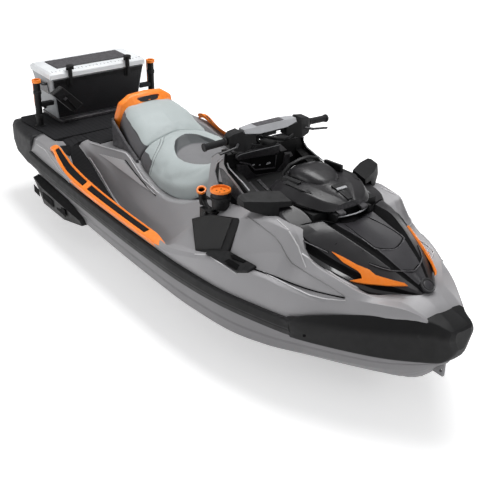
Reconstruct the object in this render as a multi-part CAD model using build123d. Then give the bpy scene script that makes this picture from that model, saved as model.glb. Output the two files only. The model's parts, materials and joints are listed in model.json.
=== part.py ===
from build123d import *
import math
import os

os.makedirs("parts", exist_ok=True)

# ---------------------------------------------------------------------------
# Three-seat fishing personal watercraft.
# Frame: +X to the bow, +Y to port, +Z up.  Everything below is drawn with
# heights measured from the bottom of the keel, in metres, and every solid is
# lowered by WATERLINE on the way out, so that z = 0 is the still-water line.
# ---------------------------------------------------------------------------
MM = 1000.0
WATERLINE = 0.300          # keel to still water
LENGTH = 3.730             # platform edge to bumper nose
BEAM = 1.270               # over the side rails
TRANSOM_X = -1.390         # back of the hull shell
RAIL_LOW = 0.355           # lower edge of the side rail
RAIL_TOP = 0.462           # upper edge of the side rail
BOND_Z = 0.410             # joint of hull and deck, hidden under the rail
SHAFT_Z = 0.130            # height of the jet shaft
STEER_BASE = (0.352, 0.0, 0.900)   # lower point of the steering axis
STEER_TOP = (0.318, 0.0, 1.030)    # upper point of the steering axis
GRIP_HALF_SPAN = 0.396
LID_HINGE = (1.118, 0.0, 0.838)    # storage lid hinge, across the craft
GLOVE_HINGE = (0.296, 0.0, 0.937)  # glovebox lid hinge, at the lid's upper edge
COOLER_REAR = -1.790
COOLER_FRONT = -1.473
COOLER_HALF = 0.356
COOLER_HINGE = (-1.800, 0.0, 0.884)
NOZZLE_X = -1.500
BUCKET_X = -1.545
LADDER_HINGE = (-1.822, 0.0, 0.372)
LADDER_REACH = 0.178
CUP_AT = (0.507, -0.352)
CUP_R = 0.050


def V(p):
    return Vector(p[0] * MM, p[1] * MM, (p[2] - WATERLINE) * MM)


def save(shape, name):
    export_step(shape, "parts/" + name + ".step")
    print(name, round(shape.volume / 1e6, 2), "dm3")


def lerp(table, x):
    """Value rows of table at x: [(x, a, b, ...), ...] sorted by x."""
    if x <= table[0][0]:
        return table[0][1:]
    for a, b in zip(table, table[1:]):
        if x <= b[0]:
            t = (x - a[0]) / (b[0] - a[0])
            return tuple(u + (v - u) * t for u, v in zip(a[1:], b[1:]))
    return table[-1][1:]


def poly_wire(points):
    return Wire.make_polygon([V(p) for p in points], close=True)


def loft_rings(rings):
    """Closed solid through rings of points, straight between them."""
    return Solid.make_loft([poly_wire(r) for r in rings], ruled=True)


def mirror_y(shape):
    return shape.mirror(Plane.XZ)


def both(shape):
    return Compound(children=[shape, mirror_y(shape)])


def half_ring(x, half):
    """Ring at x from a half section that runs from low centre to high centre."""
    ring = [(x, y, z) for y, z in half]
    ring += [(x, -y, z) for y, z in reversed(half) if y > 1e-6]
    return ring


def prism(points, offset):
    """Solid between a flat polygon and its copy moved by offset."""
    a = [tuple(p) for p in points]
    b = [tuple(p[i] + offset[i] for i in range(3)) for p in points]
    return loft_rings([a, b])


def block(lo, hi):
    return prism([(lo[0], lo[1], lo[2]), (hi[0], lo[1], lo[2]), (hi[0], hi[1], lo[2]), (lo[0], hi[1], lo[2])],
                 (0, 0, hi[2] - lo[2]))


def rod(a, b, r, r2=None):
    """Round bar, or cone, between two points."""
    va, vb = V(a), V(b)
    d = vb - va
    pl = Plane(origin=va, z_dir=d)
    if r2 is None:
        return Solid.make_cylinder(r * MM, d.length, pl)
    return Solid.make_cone(r * MM, r2 * MM, d.length, pl)


def ball(c, r):
    return Solid.make_sphere(r * MM, Plane(origin=V(c)), -90, 90, 360)


def solids_of(shape):
    s = shape.solids()
    return s[0] if len(s) == 1 else Compound(children=list(s))


def cut(a, *tools):
    for t in tools:
        for s in t.solids():
            a = a - s
    return solids_of(a)


def largest(shape):
    return max(shape.solids(), key=lambda v: v.volume)


def fuse(a, *others):
    for o in others:
        a = a + o
    return solids_of(a)


# --- longitudinal lines -----------------------------------------------------
# outer lower and upper edge of the side rail (x, half breadth)
RAIL_Y = [(-1.39, 0.577, 0.588), (-1.20, 0.590, 0.601), (-0.75, 0.607, 0.620), (-0.37, 0.615, 0.629),
          (0.01, 0.621, 0.635), (0.41, 0.616, 0.633), (0.60, 0.603, 0.622), (0.82, 0.573, 0.600),
          (1.07, 0.511, 0.540), (1.25, 0.452, 0.483), (1.40, 0.372, 0.405), (1.565, 0.267, 0.300),
          (1.68, 0.172, 0.205), (1.76, 0.092, 0.130), (1.80, 0.045, 0.100)]

# x, keel height, chine half breadth, chine height
BOTTOM = [(-1.39, 0.000, 0.500, 0.185), (-1.00, 0.000, 0.525, 0.187), (-0.60, 0.000, 0.545, 0.190),
          (0.00, 0.000, 0.562, 0.195), (0.40, 0.000, 0.567, 0.200), (0.60, 0.002, 0.556, 0.202),
          (0.82, 0.008, 0.533, 0.205), (1.07, 0.024, 0.458, 0.215), (1.25, 0.050, 0.352, 0.222),
          (1.40, 0.085, 0.268, 0.230), (1.565, 0.130, 0.172, 0.245), (1.68, 0.205, 0.092, 0.275),
          (1.76, 0.300, 0.045, 0.318), (1.80, 0.338, 0.018, 0.345)]


def sole(x):
    """Joint of hull and deck inside the flange: half breadth and height."""
    yl = lerp(RAIL_Y, x)[0]
    z = lerp([(-1.39, 0.290), (1.25, 0.290), (1.40, 0.300), (1.565, 0.340), (1.68, 0.370), (1.80, 0.390)], x)[0]
    return max(yl - 0.075, yl * 0.35), z


def hull_half(x):
    zk, yc, zc = lerp(BOTTOM, x)
    yl, yu = lerp(RAIL_Y, x)
    yi, zi = sole(x)
    return [(0, zk), (yc * 0.5, zk + (zc - zk) * 0.46), (yc, zc), (yl - 0.014, RAIL_LOW), (yl - 0.022, BOND_Z),
            (yi, BOND_Z), (yi, zi), (0, zi)]


# --- deck: half section from the joint, over the gunwale and the footwell,
# to the middle.  x, then (y, z) for: gunwale outer edge, gunwale inner edge,
# footwell outer floor, footwell inner floor, seat base edge, middle.
DECK = [
    (-1.39, (0.545, 0.545), (0.500, 0.562), (0.420, 0.562), (0.310, 0.562), (0.290, 0.562), 0.562),
    (-1.20, (0.556, 0.553), (0.480, 0.562), (0.420, 0.540), (0.305, 0.540), (0.290, 0.553), 0.562),
    (-1.00, (0.580, 0.548), (0.505, 0.555), (0.450, 0.425), (0.325, 0.425), (0.290, 0.575), 0.590),
    (-0.80, (0.606, 0.503), (0.540, 0.503), (0.495, 0.390), (0.355, 0.390), (0.288, 0.605), 0.605),
    (-0.60, (0.616, 0.490), (0.552, 0.486), (0.520, 0.350), (0.375, 0.350), (0.292, 0.640), 0.610),
    (-0.35, (0.622, 0.489), (0.556, 0.484), (0.528, 0.340), (0.395, 0.340), (0.310, 0.580), 0.560),
    (-0.10, (0.625, 0.489), (0.560, 0.484), (0.530, 0.340), (0.405, 0.340), (0.325, 0.545), 0.540),
    (0.10, (0.624, 0.490), (0.562, 0.485), (0.530, 0.345), (0.415, 0.345), (0.330, 0.590), 0.560),
    (0.26, (0.620, 0.494), (0.566, 0.492), (0.535, 0.400), (0.430, 0.440), (0.318, 0.650), 0.640),
    (0.40, (0.612, 0.508), (0.560, 0.518), (0.510, 0.560), (0.430, 0.610), (0.300, 0.690), 0.690),
    (0.60, (0.590, 0.565), (0.545, 0.585), (0.470, 0.640), (0.400, 0.690), (0.300, 0.735), 0.710),
    (0.82, (0.535, 0.612), (0.510, 0.640), (0.450, 0.700), (0.385, 0.790), (0.320, 0.812), 0.740),
    (1.07, (0.445, 0.603), (0.425, 0.630), (0.385, 0.730), (0.352, 0.812), (0.310, 0.812), 0.740),
    (1.25, (0.382, 0.598), (0.365, 0.612), (0.340, 0.650), (0.322, 0.682), (0.290, 0.690), 0.690),
    (1.40, (0.315, 0.598), (0.300, 0.610), (0.280, 0.630), (0.262, 0.650), (0.230, 0.655), 0.660),
    (1.565, (0.205, 0.587), (0.190, 0.596), (0.175, 0.610), (0.155, 0.625), (0.120, 0.635), 0.640),
    (1.68, (0.130, 0.566), (0.115, 0.572), (0.100, 0.580), (0.080, 0.590), (0.060, 0.600), 0.602),
    (1.76, (0.095, 0.548), (0.080, 0.552), (0.065, 0.556), (0.050, 0.560), (0.035, 0.562), 0.564),
    (1.80, (0.075, 0.525), (0.060, 0.530), (0.050, 0.532), (0.040, 0.534), (0.030, 0.536), 0.538),
]


DECK_FLAT = [(r[0],) + tuple(v for p in r[1:6] for v in p) + (r[6],) for r in DECK]
STATIONS = sorted(set([r[0] for r in BOTTOM] + [r[0] for r in DECK] + [r[0] for r in RAIL_Y]))


def deck_half(x):
    yl, yu = lerp(RAIL_Y, x)
    v = lerp(DECK_FLAT, x)
    pts5 = [(v[2 * i], v[2 * i + 1]) for i in range(5)]
    yi, zi = sole(x)
    pts = [(0, zi), (yi, zi), (yi, BOND_Z), (yl - 0.022, BOND_Z), (yu - 0.018, RAIL_TOP)]
    pts += [(min(p[0], yu - 0.012), p[1]) if i == 0 else p for i, p in enumerate(pts5)]
    pts.append((0, v[10]))
    return pts


hull_raw = loft_rings([half_ring(x, hull_half(x)) for x in STATIONS])
deck_raw = loft_rings([half_ring(x, deck_half(x)) for x in STATIONS])


# engine bay, shared by hull and deck
bay_low = block((-0.58, -0.26, 0.135), (0.30, 0.26, 0.500))
bay_high = bay_low
# front storage well, open at the top under the storage lid
STORE_LO, STORE_HI = (0.700, -0.160, 0.470), (1.030, 0.160, 0.900)
store_cut = block(STORE_LO, STORE_HI)

# --- jet tunnel: water intake duct, pump room and tail opening -------------
duct = loft_rings([[(-0.62, -0.085, -0.05), (-0.62, 0.085, -0.05), (-0.62, 0.085, 0.020), (-0.62, -0.085, 0.020)],
                   [(-1.10, -0.100, -0.05), (-1.10, 0.100, -0.05), (-1.10, 0.100, 0.232), (-1.10, -0.100, 0.232)]])
pump_room = block((-1.45, -0.130, -0.05), (-1.08, 0.130, 0.265))
shaft_hole = rod((-1.00, 0, SHAFT_Z), (-0.60, 0, SHAFT_Z), 0.022)
hull = cut(hull_raw, bay_low, duct, pump_room, shaft_hole)
deck = cut(deck_raw, bay_high, store_cut)
save(hull, "hull")

# --- rails and bow bumper ----------------------------------------------------


def rail_ring(x, y, n, low, top, zl, zt, depth):
    """Ring in the vertical plane through (x, y) along the outward direction n."""
    def at(o, z):
        return (x + n[0] * o, y + n[1] * o, z)
    return [at(low, zl), at((low + top) / 2 + 0.010, (zl * 0.45 + zt * 0.55)), at(top, zt), at(-depth, zt), at(-depth, zl)]


rail_rings = []
for x, yl, yu in RAIL_Y:
    if x > 1.26:
        break
    rail_rings.append(rail_ring(x, yl, (0, 1), 0.0, yu - yl, RAIL_LOW, RAIL_TOP, 0.045))
side_rail = cut(loft_rings(rail_rings), hull, deck)
side_rails = both(side_rail)
save(side_rails, "side_rails")

# bumper: x, y of lower outer edge, x, y, z of the upper outer edge, fold edge
BUMP = [  # (x, y low, y fold, z fold, y top, z top, z low)
    (1.252, 0.456, 0.486, 0.440, 0.478, 0.474, 0.348),
    (1.330, 0.415, 0.447, 0.455, 0.428, 0.505, 0.348),
    (1.480, 0.326, 0.360, 0.480, 0.320, 0.545, 0.348),
    (1.620, 0.232, 0.262, 0.500, 0.212, 0.572, 0.350),
    (1.730, 0.140, 0.172, 0.512, 0.128, 0.582, 0.356),
    (1.800, 0.070, 0.110, 0.518, 0.088, 0.572, 0.362),
]


def bump_ring(row):
    x, yl, yf, zf, yt, zt, zl = row
    inner = max(yt - 0.060, 0.02)
    return [(x, yl, zl), (x, yf, zf), (x, yt, zt), (x, inner, zt - 0.004), (x, inner, zl)]


bump_side = loft_rings([bump_ring(r) for r in BUMP])
nose = loft_rings([
    [(1.800, -0.070, 0.362), (1.800, -0.110, 0.518), (1.800, -0.088, 0.572), (1.800, 0.088, 0.572), (1.800, 0.110, 0.518), (1.800, 0.070, 0.362)],
    [(1.865, -0.030, 0.440), (1.865, -0.072, 0.520), (1.865, -0.060, 0.556), (1.865, 0.060, 0.556), (1.865, 0.072, 0.520), (1.865, 0.030, 0.440)],
])
bumper = fuse(cut(bump_side, hull, deck), cut(mirror_y(bump_side), hull, deck), nose)
save(bumper, "bow_bumper")
save(deck, "deck")

# --- swim platform behind the transom --------------------------------------
PLAT = [  # x, half breadth, low z, top z
    (-1.391, 0.572, 0.330, 0.562), (-1.500, 0.566, 0.318, 0.560), (-1.700, 0.545, 0.330, 0.556),
    (-1.820, 0.515, 0.362, 0.540), (-1.865, 0.490, 0.400, 0.510)]
plat = loft_rings([[(x, -w + 0.02, zt), (x, -w, zt - 0.03), (x, -w, zl + 0.03), (x, -w + 0.03, zl),
                    (x, w - 0.03, zl), (x, w, zl + 0.03), (x, w, zt - 0.03), (x, w - 0.02, zt)] for x, w, zl, zt in PLAT])
plat = cut(plat, block((-1.90, -0.30, 0.25), (-1.38, 0.30, 0.425)))
save(plat, "swim_platform")

# hinge lugs of the boarding ladder, under the platform
lugs = [cut(block((-1.850, s * 0.185 - 0.010, 0.345), (-1.795, s * 0.185 + 0.010, 0.425)),
            rod((LADDER_HINGE[0], s * 0.185 - 0.02, LADDER_HINGE[2]), (LADDER_HINGE[0], s * 0.185 + 0.02, LADDER_HINGE[2]), 0.0085))
        for s in (-1, 1)]
save(Compound(children=lugs), "ladder_lugs")
lr = 0.0125
ly = 0.155
lad = fuse(rod((LADDER_HINGE[0], -0.196, LADDER_HINGE[2]), (LADDER_HINGE[0], 0.196, LADDER_HINGE[2]), 0.008),
           rod((LADDER_HINGE[0], -ly, LADDER_HINGE[2]), (LADDER_HINGE[0] + LADDER_REACH, -ly, LADDER_HINGE[2]), lr),
           rod((LADDER_HINGE[0], ly, LADDER_HINGE[2]), (LADDER_HINGE[0] + LADDER_REACH, ly, LADDER_HINGE[2]), lr),
           rod((LADDER_HINGE[0] + LADDER_REACH, -ly, LADDER_HINGE[2]), (LADDER_HINGE[0] + LADDER_REACH, ly, LADDER_HINGE[2]), lr),
           ball((LADDER_HINGE[0] + LADDER_REACH, -ly, LADDER_HINGE[2]), lr), ball((LADDER_HINGE[0] + LADDER_REACH, ly, LADDER_HINGE[2]), lr),
           block((LADDER_HINGE[0] + LADDER_REACH - 0.040, -0.135, LADDER_HINGE[2] - 0.010), (LADDER_HINGE[0] + LADDER_REACH + 0.008, 0.135, LADDER_HINGE[2] + 0.016)))
save(lad, "boarding_ladder")

# --- mats -------------------------------------------------------------------


def skin(rows, t):
    """Plate of thickness t over rows of (x, y0, z0, y1, z1)."""
    return loft_rings([[(x, y0, z0), (x, y1, z1), (x, y1, z1 + t), (x, y0, z0 + t)] for x, y0, z0, y1, z1 in rows])


rear_mat = loft_rings([[(-1.800, -0.455, 0.530), (-1.800, 0.455, 0.530), (-1.800, 0.455, 0.556), (-1.800, -0.455, 0.556)],
                       [(-1.700, -0.490, 0.530), (-1.700, 0.490, 0.530), (-1.700, 0.490, 0.566), (-1.700, -0.490, 0.566)],
                       [(-1.225, -0.470, 0.530), (-1.225, 0.470, 0.530), (-1.225, 0.470, 0.572), (-1.225, -0.470, 0.572)]])
rear_mat = cut(rear_mat, plat, deck)
save(rear_mat, "rear_deck_mat")

mat = cut(skin([(-1.185, 0.315, 0.520, 0.415, 0.520), (-1.00, 0.335, 0.412, 0.440, 0.412), (-0.80, 0.362, 0.372, 0.488, 0.372),
                (-0.60, 0.382, 0.336, 0.512, 0.336), (-0.35, 0.402, 0.328, 0.520, 0.328), (-0.10, 0.412, 0.328, 0.522, 0.328),
                (0.08, 0.422, 0.332, 0.522, 0.332)], 0.024), deck)
save(both(mat), "footwell_mats")

# --- gunwale: orange strip with a dark grip pad beside it ------------------
TRIM = [  # x, outer y, outer z, inner y, inner z (under side on the gunwale)
    (-1.085, 0.556, 0.535, 0.530, 0.545), (-1.000, 0.570, 0.530, 0.545, 0.540), (-0.900, 0.592, 0.510, 0.566, 0.515),
    (-0.800, 0.604, 0.490, 0.580, 0.492), (-0.600, 0.612, 0.480, 0.588, 0.480), (-0.350, 0.618, 0.478, 0.594, 0.478),
    (0.000, 0.622, 0.478, 0.597, 0.478), (0.200, 0.618, 0.480, 0.580, 0.480), (0.300, 0.614, 0.484, 0.565, 0.485),
    (0.370, 0.595, 0.492, 0.578, 0.493)]
trim = largest(cut(skin(TRIM, 0.024), deck))
save(both(trim), "gunwale_trim")
PAD = [(x, yi - 0.001, zi - 0.012, yi - w, zi - 0.012) for (x, _, _, yi, zi), w in
       zip(TRIM[1:9], (0.030, 0.032, 0.034, 0.036, 0.036, 0.036, 0.024, 0.006))]
pad = largest(cut(skin(PAD, 0.030), deck, trim))
save(both(pad), "gunwale_pads")

# --- seats -------------------------------------------------------------------
# half section: bottom edge, shoulder, crown edge; x, yb, zb, ys, zs, yt, zt, zc
SEAT_R = [
    (-0.905, 0.215, 0.600, 0.235, 0.700, 0.170, 0.800, 0.815),
    (-0.800, 0.225, 0.610, 0.245, 0.700, 0.190, 0.840, 0.858),
    (-0.680, 0.240, 0.615, 0.255, 0.690, 0.200, 0.815, 0.838),
    (-0.560, 0.250, 0.620, 0.262, 0.670, 0.205, 0.745, 0.800),
    (-0.450, 0.262, 0.590, 0.275, 0.640, 0.210, 0.700, 0.760)]
SEAT_F = [
    (-0.445, 0.262, 0.585, 0.275, 0.640, 0.208, 0.705, 0.752),
    (-0.330, 0.280, 0.560, 0.290, 0.620, 0.205, 0.710, 0.740),
    (-0.200, 0.290, 0.548, 0.298, 0.610, 0.195, 0.700, 0.714),
    (-0.070, 0.280, 0.548, 0.285, 0.620, 0.175, 0.700, 0.706),
    (0.040, 0.262, 0.560, 0.262, 0.640, 0.165, 0.735, 0.730),
    (0.130, 0.232, 0.600, 0.225, 0.690, 0.150, 0.792, 0.785),
    (0.200, 0.190, 0.650, 0.185, 0.740, 0.132, 0.838, 0.842),
    (0.226, 0.165, 0.680, 0.165, 0.745, 0.120, 0.832, 0.838)]


def seat_half(r):
    x, yb, zb, ys, zs, yt, zt, zc = r
    return (x, [(0, zb), (yb, zb), (ys, zs), (yt, zt), (0, zc)])


seat_rear = loft_rings([half_ring(*seat_half(r)) for r in SEAT_R])
seat_front = loft_rings([half_ring(*seat_half(r)) for r in SEAT_F])
seat_rear = cut(seat_rear, deck)
seat_front = cut(seat_front, deck)
save(seat_rear, "seat_rear")
save(seat_front, "seat_front")

# orange hoop behind the passenger, with a hand slot through its top
hoop_out = [(0.225, 0.575), (0.250, 0.700), (0.225, 0.860), (0.150, 0.915), (0.0, 0.930)]
hoop_in = [(0.0, 0.845), (0.120, 0.835), (0.180, 0.790), (0.200, 0.700), (0.190, 0.575)]


def hoop_half(sgn):
    pts = hoop_out + hoop_in
    a = [(-0.985 + (z - 0.575) * 0.22, sgn * y, z) for y, z in pts]
    b = [(-0.910 + (z - 0.575) * 0.22, sgn * y, z) for y, z in pts]
    return loft_rings([a, b])


hoop = fuse(hoop_half(1), hoop_half(-1))
hand_slot = block((-0.96, -0.085, 0.868), (-0.80, 0.085, 0.900))
hoop = cut(hoop, deck, hand_slot, seat_rear)
save(hoop, "grab_hoop")

# curved shroud around the back of the seat

def shroud_half(sgn):
    rows = [(-1.085, 0.000, 0.655), (-1.075, 0.120, 0.655), (-1.035, 0.215, 0.665), (-0.950, 0.268, 0.670), (-0.800, 0.280, 0.650), (-0.640, 0.286, 0.655)]
    rings = []
    for i, (x, y, z) in enumerate(rows):
        a = rows[max(i - 1, 0)]
        b = rows[min(i + 1, len(rows) - 1)]
        tx, ty = b[0] - a[0], b[1] - a[1]
        n = math.hypot(tx, ty)
        nx, ny = -ty / n * 0.022, tx / n * 0.022
        rings.append([(x, sgn * y, 0.560), (x - nx, sgn * (y - ny), 0.560), (x - nx, sgn * (y - ny), z), (x, sgn * y, z)])
    return loft_rings(rings)


shroud = fuse(shroud_half(1), shroud_half(-1))
shroud = cut(shroud, deck, seat_rear, hoop)
save(shroud, "seat_shroud")

# --- hood, side intakes, accents ---------------------------------------------
HOOD = [  # x, y edge, z edge, y shoulder, z shoulder, z middle
    (1.120, 0.318, 0.780, 0.200, 0.815, 0.800),
    (1.250, 0.275, 0.735, 0.170, 0.800, 0.790),
    (1.400, 0.215, 0.690, 0.120, 0.770, 0.775),
    (1.500, 0.165, 0.668, 0.080, 0.725, 0.740),
    (1.600, 0.090, 0.648, 0.045, 0.668, 0.672),
    (1.640, 0.045, 0.632, 0.025, 0.645, 0.646)]
hood = loft_rings([half_ring(x, [(0, 0.56), (ye, 0.56), (ye, ze), (ys, zs), (0, zm)]) for x, ye, ze, ys, zs, zm in HOOD])
hood = cut(hood, deck)
save(hood, "hood")

INTAKE = [  # x, y outer, z outer low, y inner, z top
    (1.085, 0.340, 0.700, 0.300, 0.806), (1.200, 0.318, 0.640, 0.288, 0.752), (1.320, 0.292, 0.620, 0.252, 0.714),
    (1.450, 0.225, 0.610, 0.188, 0.682), (1.560, 0.150, 0.600, 0.110, 0.660)]
intake = loft_rings([[(x, yi - 0.05, zl), (x, yo, zl), (x, yo, zl + 0.045), (x, yi, zt), (x, yi - 0.05, zt)] for x, yo, zl, yi, zt in INTAKE])
intake = largest(cut(intake, deck, hood))
save(both(intake), "hood_intakes")

ACC = [(1.235, 0.330, 0.700), (1.330, 0.300, 0.690), (1.420, 0.248, 0.684), (1.520, 0.180, 0.670), (1.590, 0.110, 0.650)]
accent = loft_rings([[(x, y - w, z - 0.030), (x, y, z - 0.030), (x, y + 0.004, z + 0.012), (x, y - w, z + 0.022)]
                     for (x, y, z), w in zip(ACC, (0.010, 0.035, 0.045, 0.030, 0.012))])
accent = cut(accent, deck, hood, intake)
save(both(accent), "bow_accents")

badge = cut(rod((1.610, 0, 0.630), (1.6385, 0, 0.6705), 0.036), hood, deck)
save(badge, "nose_badge")

# --- console around the steering column ---------------------------------------
CHEEK = [(0.290, 0.640), (0.290, 0.900), (0.335, 0.935), (0.380, 0.947), (0.405, 0.940), (0.418, 0.878),
         (0.640, 0.800), (0.695, 0.792), (0.695, 0.640)]
CHEEK_IN = 0.205


def cheek_y(z):
    return 0.252 + (0.947 - z) * 0.17


cheek = loft_rings([[(x, CHEEK_IN, z) for x, z in CHEEK], [(x, cheek_y(z), z) for x, z in CHEEK]])
COWL = [(0.240, 0.640), (0.240, 0.845), (0.302, 0.932), (0.345, 0.944), (0.385, 0.950), (0.412, 0.944), (0.416, 0.640)]
COLLAR = [(0.416, 0.640), (0.416, 0.745), (0.455, 0.745), (0.455, 0.800), (0.480, 0.800), (0.660, 0.742), (0.695, 0.742), (0.695, 0.640)]


cowl = prism([(x, -CHEEK_IN - 0.0005, z) for x, z in COWL], (0, 2 * CHEEK_IN + 0.001, 0))
for s in (-1, 1):  # the cowl narrows toward the rider's knees
    cowl = cut(cowl, prism([(0.230, s * 0.158, 0.60), (0.302, s * 0.2056, 0.60), (0.302, s * 0.240, 0.60), (0.230, s * 0.240, 0.60)], (0, 0, 0.40)))
collar = prism([(x, -CHEEK_IN - 0.0003, z) for x, z in COLLAR], (0, 2 * CHEEK_IN + 0.0006, 0))
console = fuse(cowl, collar, cheek, mirror_y(cheek))
GLOVE = [(0.2155, 0.873), (0.2665, 0.944), (0.320, 0.906), (0.390, 0.898), (0.390, 0.800), (0.268, 0.800)]
glove_cut = prism([(x, -0.112, z) for x, z in GLOVE], (0, 0.224, 0))


def steer_at(up):
    """Point on the steering axis, up metres along it from STEER_TOP."""
    ax = [STEER_TOP[i] - STEER_BASE[i] for i in range(3)]
    n = math.sqrt(sum(a * a for a in ax))
    return tuple(STEER_TOP[i] + ax[i] / n * up for i in range(3))


shaft_bore = rod(steer_at(-0.116), steer_at(0.0), 0.0125)
console = largest(cut(console, glove_cut, shaft_bore, deck, seat_front))
save(console, "console")
# glovebox lid: plate on the slope of the cowl, with its hinge barrels
SLOPE_N = (-0.8142, 0.5806)
glove_lo, glove_hi = (0.2425, 0.8485), (0.2970, 0.9250)
gl = [(glove_lo[0] + SLOPE_N[0] * k, glove_lo[1] + SLOPE_N[1] * k) for k in (0.0018, 0.0098)]
gh = [(glove_hi[0] + SLOPE_N[0] * k, glove_hi[1] + SLOPE_N[1] * k) for k in (0.0098, 0.0018)]
glove_lid = prism([(x, -0.121, z) for x, z in gl + gh], (0, 0.242, 0))
for y0, y1 in ((-0.090, -0.050), (0.050, 0.090)):
    glove_lid = fuse(glove_lid, rod((GLOVE_HINGE[0], y0, GLOVE_HINGE[2]), (GLOVE_HINGE[0], y1, GLOVE_HINGE[2]), 0.0050))
save(glove_lid, "glovebox_lid")

# --- storage lid with the gauge pod and the wind deflector --------------------
LID = [  # x, y edge, z edge, y shoulder, z shoulder, z middle
    (0.705, 0.190, 0.858, 0.140, 0.884, 0.890),
    (0.800, 0.215, 0.865, 0.160, 0.906, 0.914),
    (0.900, 0.215, 0.868, 0.150, 0.926, 0.934),
    (1.000, 0.180, 0.858, 0.115, 0.914, 0.922),
    (1.085, 0.130, 0.850, 0.060, 0.872, 0.882)]
lid = loft_rings([half_ring(x, [(0, 0.846), (ye, 0.846), (ye, ze), (ys, zs), (0, zm)]) for x, ye, ze, ys, zs, zm in LID])
# two hinge knuckles on the lid's front edge, turning on pins held by the coaming
hx, hz = LID_HINGE[0], LID_HINGE[2]
for s in (-1, 1):
    y0, y1 = sorted((s * 0.050, s * 0.090))
    knuckle = fuse(rod((hx, y0, hz), (hx, y1, hz), 0.0085), block((1.070, y0, 0.846), (hx, y1, 0.8463 + 0.0002)),
                   prism([(1.070, y0, 0.846), (hx, y0, hz), (hx, y0, hz + 0.0082), (1.070, y0, 0.856)], (0, y1 - y0, 0)))
    lid = fuse(lid, knuckle)
pin_bore = rod((hx, -0.120, hz), (hx, 0.120, hz), 0.0046)
lid = cut(lid, pin_bore)
save(lid, "storage_lid")
POD = [  # x, y low, z low, y top, z top: housing of the gauge, standing on the lid
    (0.715, 0.105, 0.880, 0.085, 0.945), (0.770, 0.120, 0.880, 0.095, 0.985), (0.850, 0.122, 0.880, 0.085, 0.992),
    (0.930, 0.100, 0.880, 0.060, 0.965), (0.975, 0.070, 0.880, 0.035, 0.935)]
pod = loft_rings([half_ring(x, [(0, zl), (yl, zl), (yl * 1.02, (zl + zt) / 2), (yt, zt - 0.006), (0, zt)]) for x, yl, zl, yt, zt in POD])
pod = cut(pod, lid)
save(pod, "gauge_pod")
# rim that closes the gap from the lid down to the deck around the storage well
coaming = cut(block((0.697, -0.200, 0.735), (1.060, 0.200, 0.841)), block((0.712, -0.160, 0.60), (1.030, 0.160, 0.90)), deck, console)
for s in (-1, 1):
    y0, y1 = sorted((s * 0.098, s * 0.112))
    lug = fuse(block((1.040, y0, 0.780), (hx - 0.002, y1, 0.830)), block((1.040, y0, 0.822), (hx + 0.008, y1, hz + 0.004)))
    p0, p1 = sorted((s * 0.046, s * 0.105))
    coaming = fuse(coaming, lug, rod((hx, p0, hz), (hx, p1, hz), 0.0040))
coaming = cut(coaming, deck)
save(coaming, "storage_coaming")
# side fairings of the cowl beside the lid
fair = loft_rings([
    [(0.700, 0.225, 0.700), (0.700, 0.310, 0.700), (0.700, 0.285, 0.805), (0.700, 0.225, 0.815)],
    [(0.880, 0.225, 0.700), (0.880, 0.318, 0.700), (0.880, 0.290, 0.860), (0.880, 0.232, 0.868)],
    [(1.080, 0.206, 0.700), (1.080, 0.335, 0.700), (1.080, 0.310, 0.826), (1.080, 0.206, 0.838)]])
fair = cut(fair, deck, console, coaming)
save(both(fair), "cowl_fairings")

# --- mirrors ----------------------------------------------------------------
mir = loft_rings([
    [(0.830, 0.236, 0.812), (0.955, 0.236, 0.806), (0.940, 0.236, 0.880), (0.845, 0.236, 0.900)],
    [(0.785, 0.330, 0.812), (0.915, 0.330, 0.812), (0.900, 0.330, 0.884), (0.795, 0.330, 0.903)],
    [(0.758, 0.410, 0.832), (0.850, 0.410, 0.836), (0.840, 0.410, 0.884), (0.765, 0.410, 0.898)],
    [(0.765, 0.432, 0.850), (0.825, 0.432, 0.852), (0.818, 0.432, 0.880), (0.770, 0.432, 0.890)]])
mir = cut(mir, deck, fair)
save(both(mir), "mirrors")

# --- steering: column, bar, pad, grips, levers -------------------------------


def steer_pt(along, side, up):
    """Point in the handlebar frame: fore-aft, side, up along the steering axis from STEER_TOP."""
    ax = [STEER_TOP[i] - STEER_BASE[i] for i in range(3)]
    n = math.sqrt(sum(a * a for a in ax))
    k = [a / n for a in ax]
    f = (k[2], 0, -k[0])
    return tuple(STEER_TOP[i] + k[i] * up + f[i] * along + (side if i == 1 else 0) for i in range(3))


def steer_box(a0, a1, w0, u0, b0, b1, w1, u1):
    return loft_rings([[steer_pt(a0, -w0, u0), steer_pt(a1, -w0, u0), steer_pt(a1, w0, u0), steer_pt(a0, w0, u0)],
                       [steer_pt(b0, -w1, u1), steer_pt(b1, -w1, u1), steer_pt(b1, w1, u1), steer_pt(b0, w1, u1)]])


column = fuse(steer_box(-0.026, 0.026, 0.040, -0.071, -0.024, 0.026, 0.034, 0.008),
              rod(steer_at(-0.110), steer_at(-0.030), 0.0110),
              loft_rings([[(0.330, -0.034, 1.004), (0.330, 0.034, 1.004), (0.330, 0.034, 1.036), (0.330, -0.034, 1.036)],
                          [(0.448, -0.044, 1.014), (0.448, 0.044, 1.014), (0.448, 0.044, 1.046), (0.448, -0.044, 1.046)]]))
save(column, "steering_column")
H1, H2 = (0.430, 0.180, 1.034), (0.432, 0.262, 1.030)
H3 = (0.427, GRIP_HALF_SPAN, 1.024)
bar = fuse(rod((0.430, -0.180, 1.034), H1, 0.0125), ball(H1, 0.0125), rod(H1, H2, 0.0125), ball(H2, 0.0125), rod(H2, H3, 0.0110))
bar = fuse(bar, mirror_y(bar))
bar = cut(bar, column)
if len(bar.solids()) > 1:
    bar = Compound(children=[b for b in bar.solids() if b.volume > 1000])
save(bar, "handlebar")
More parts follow.
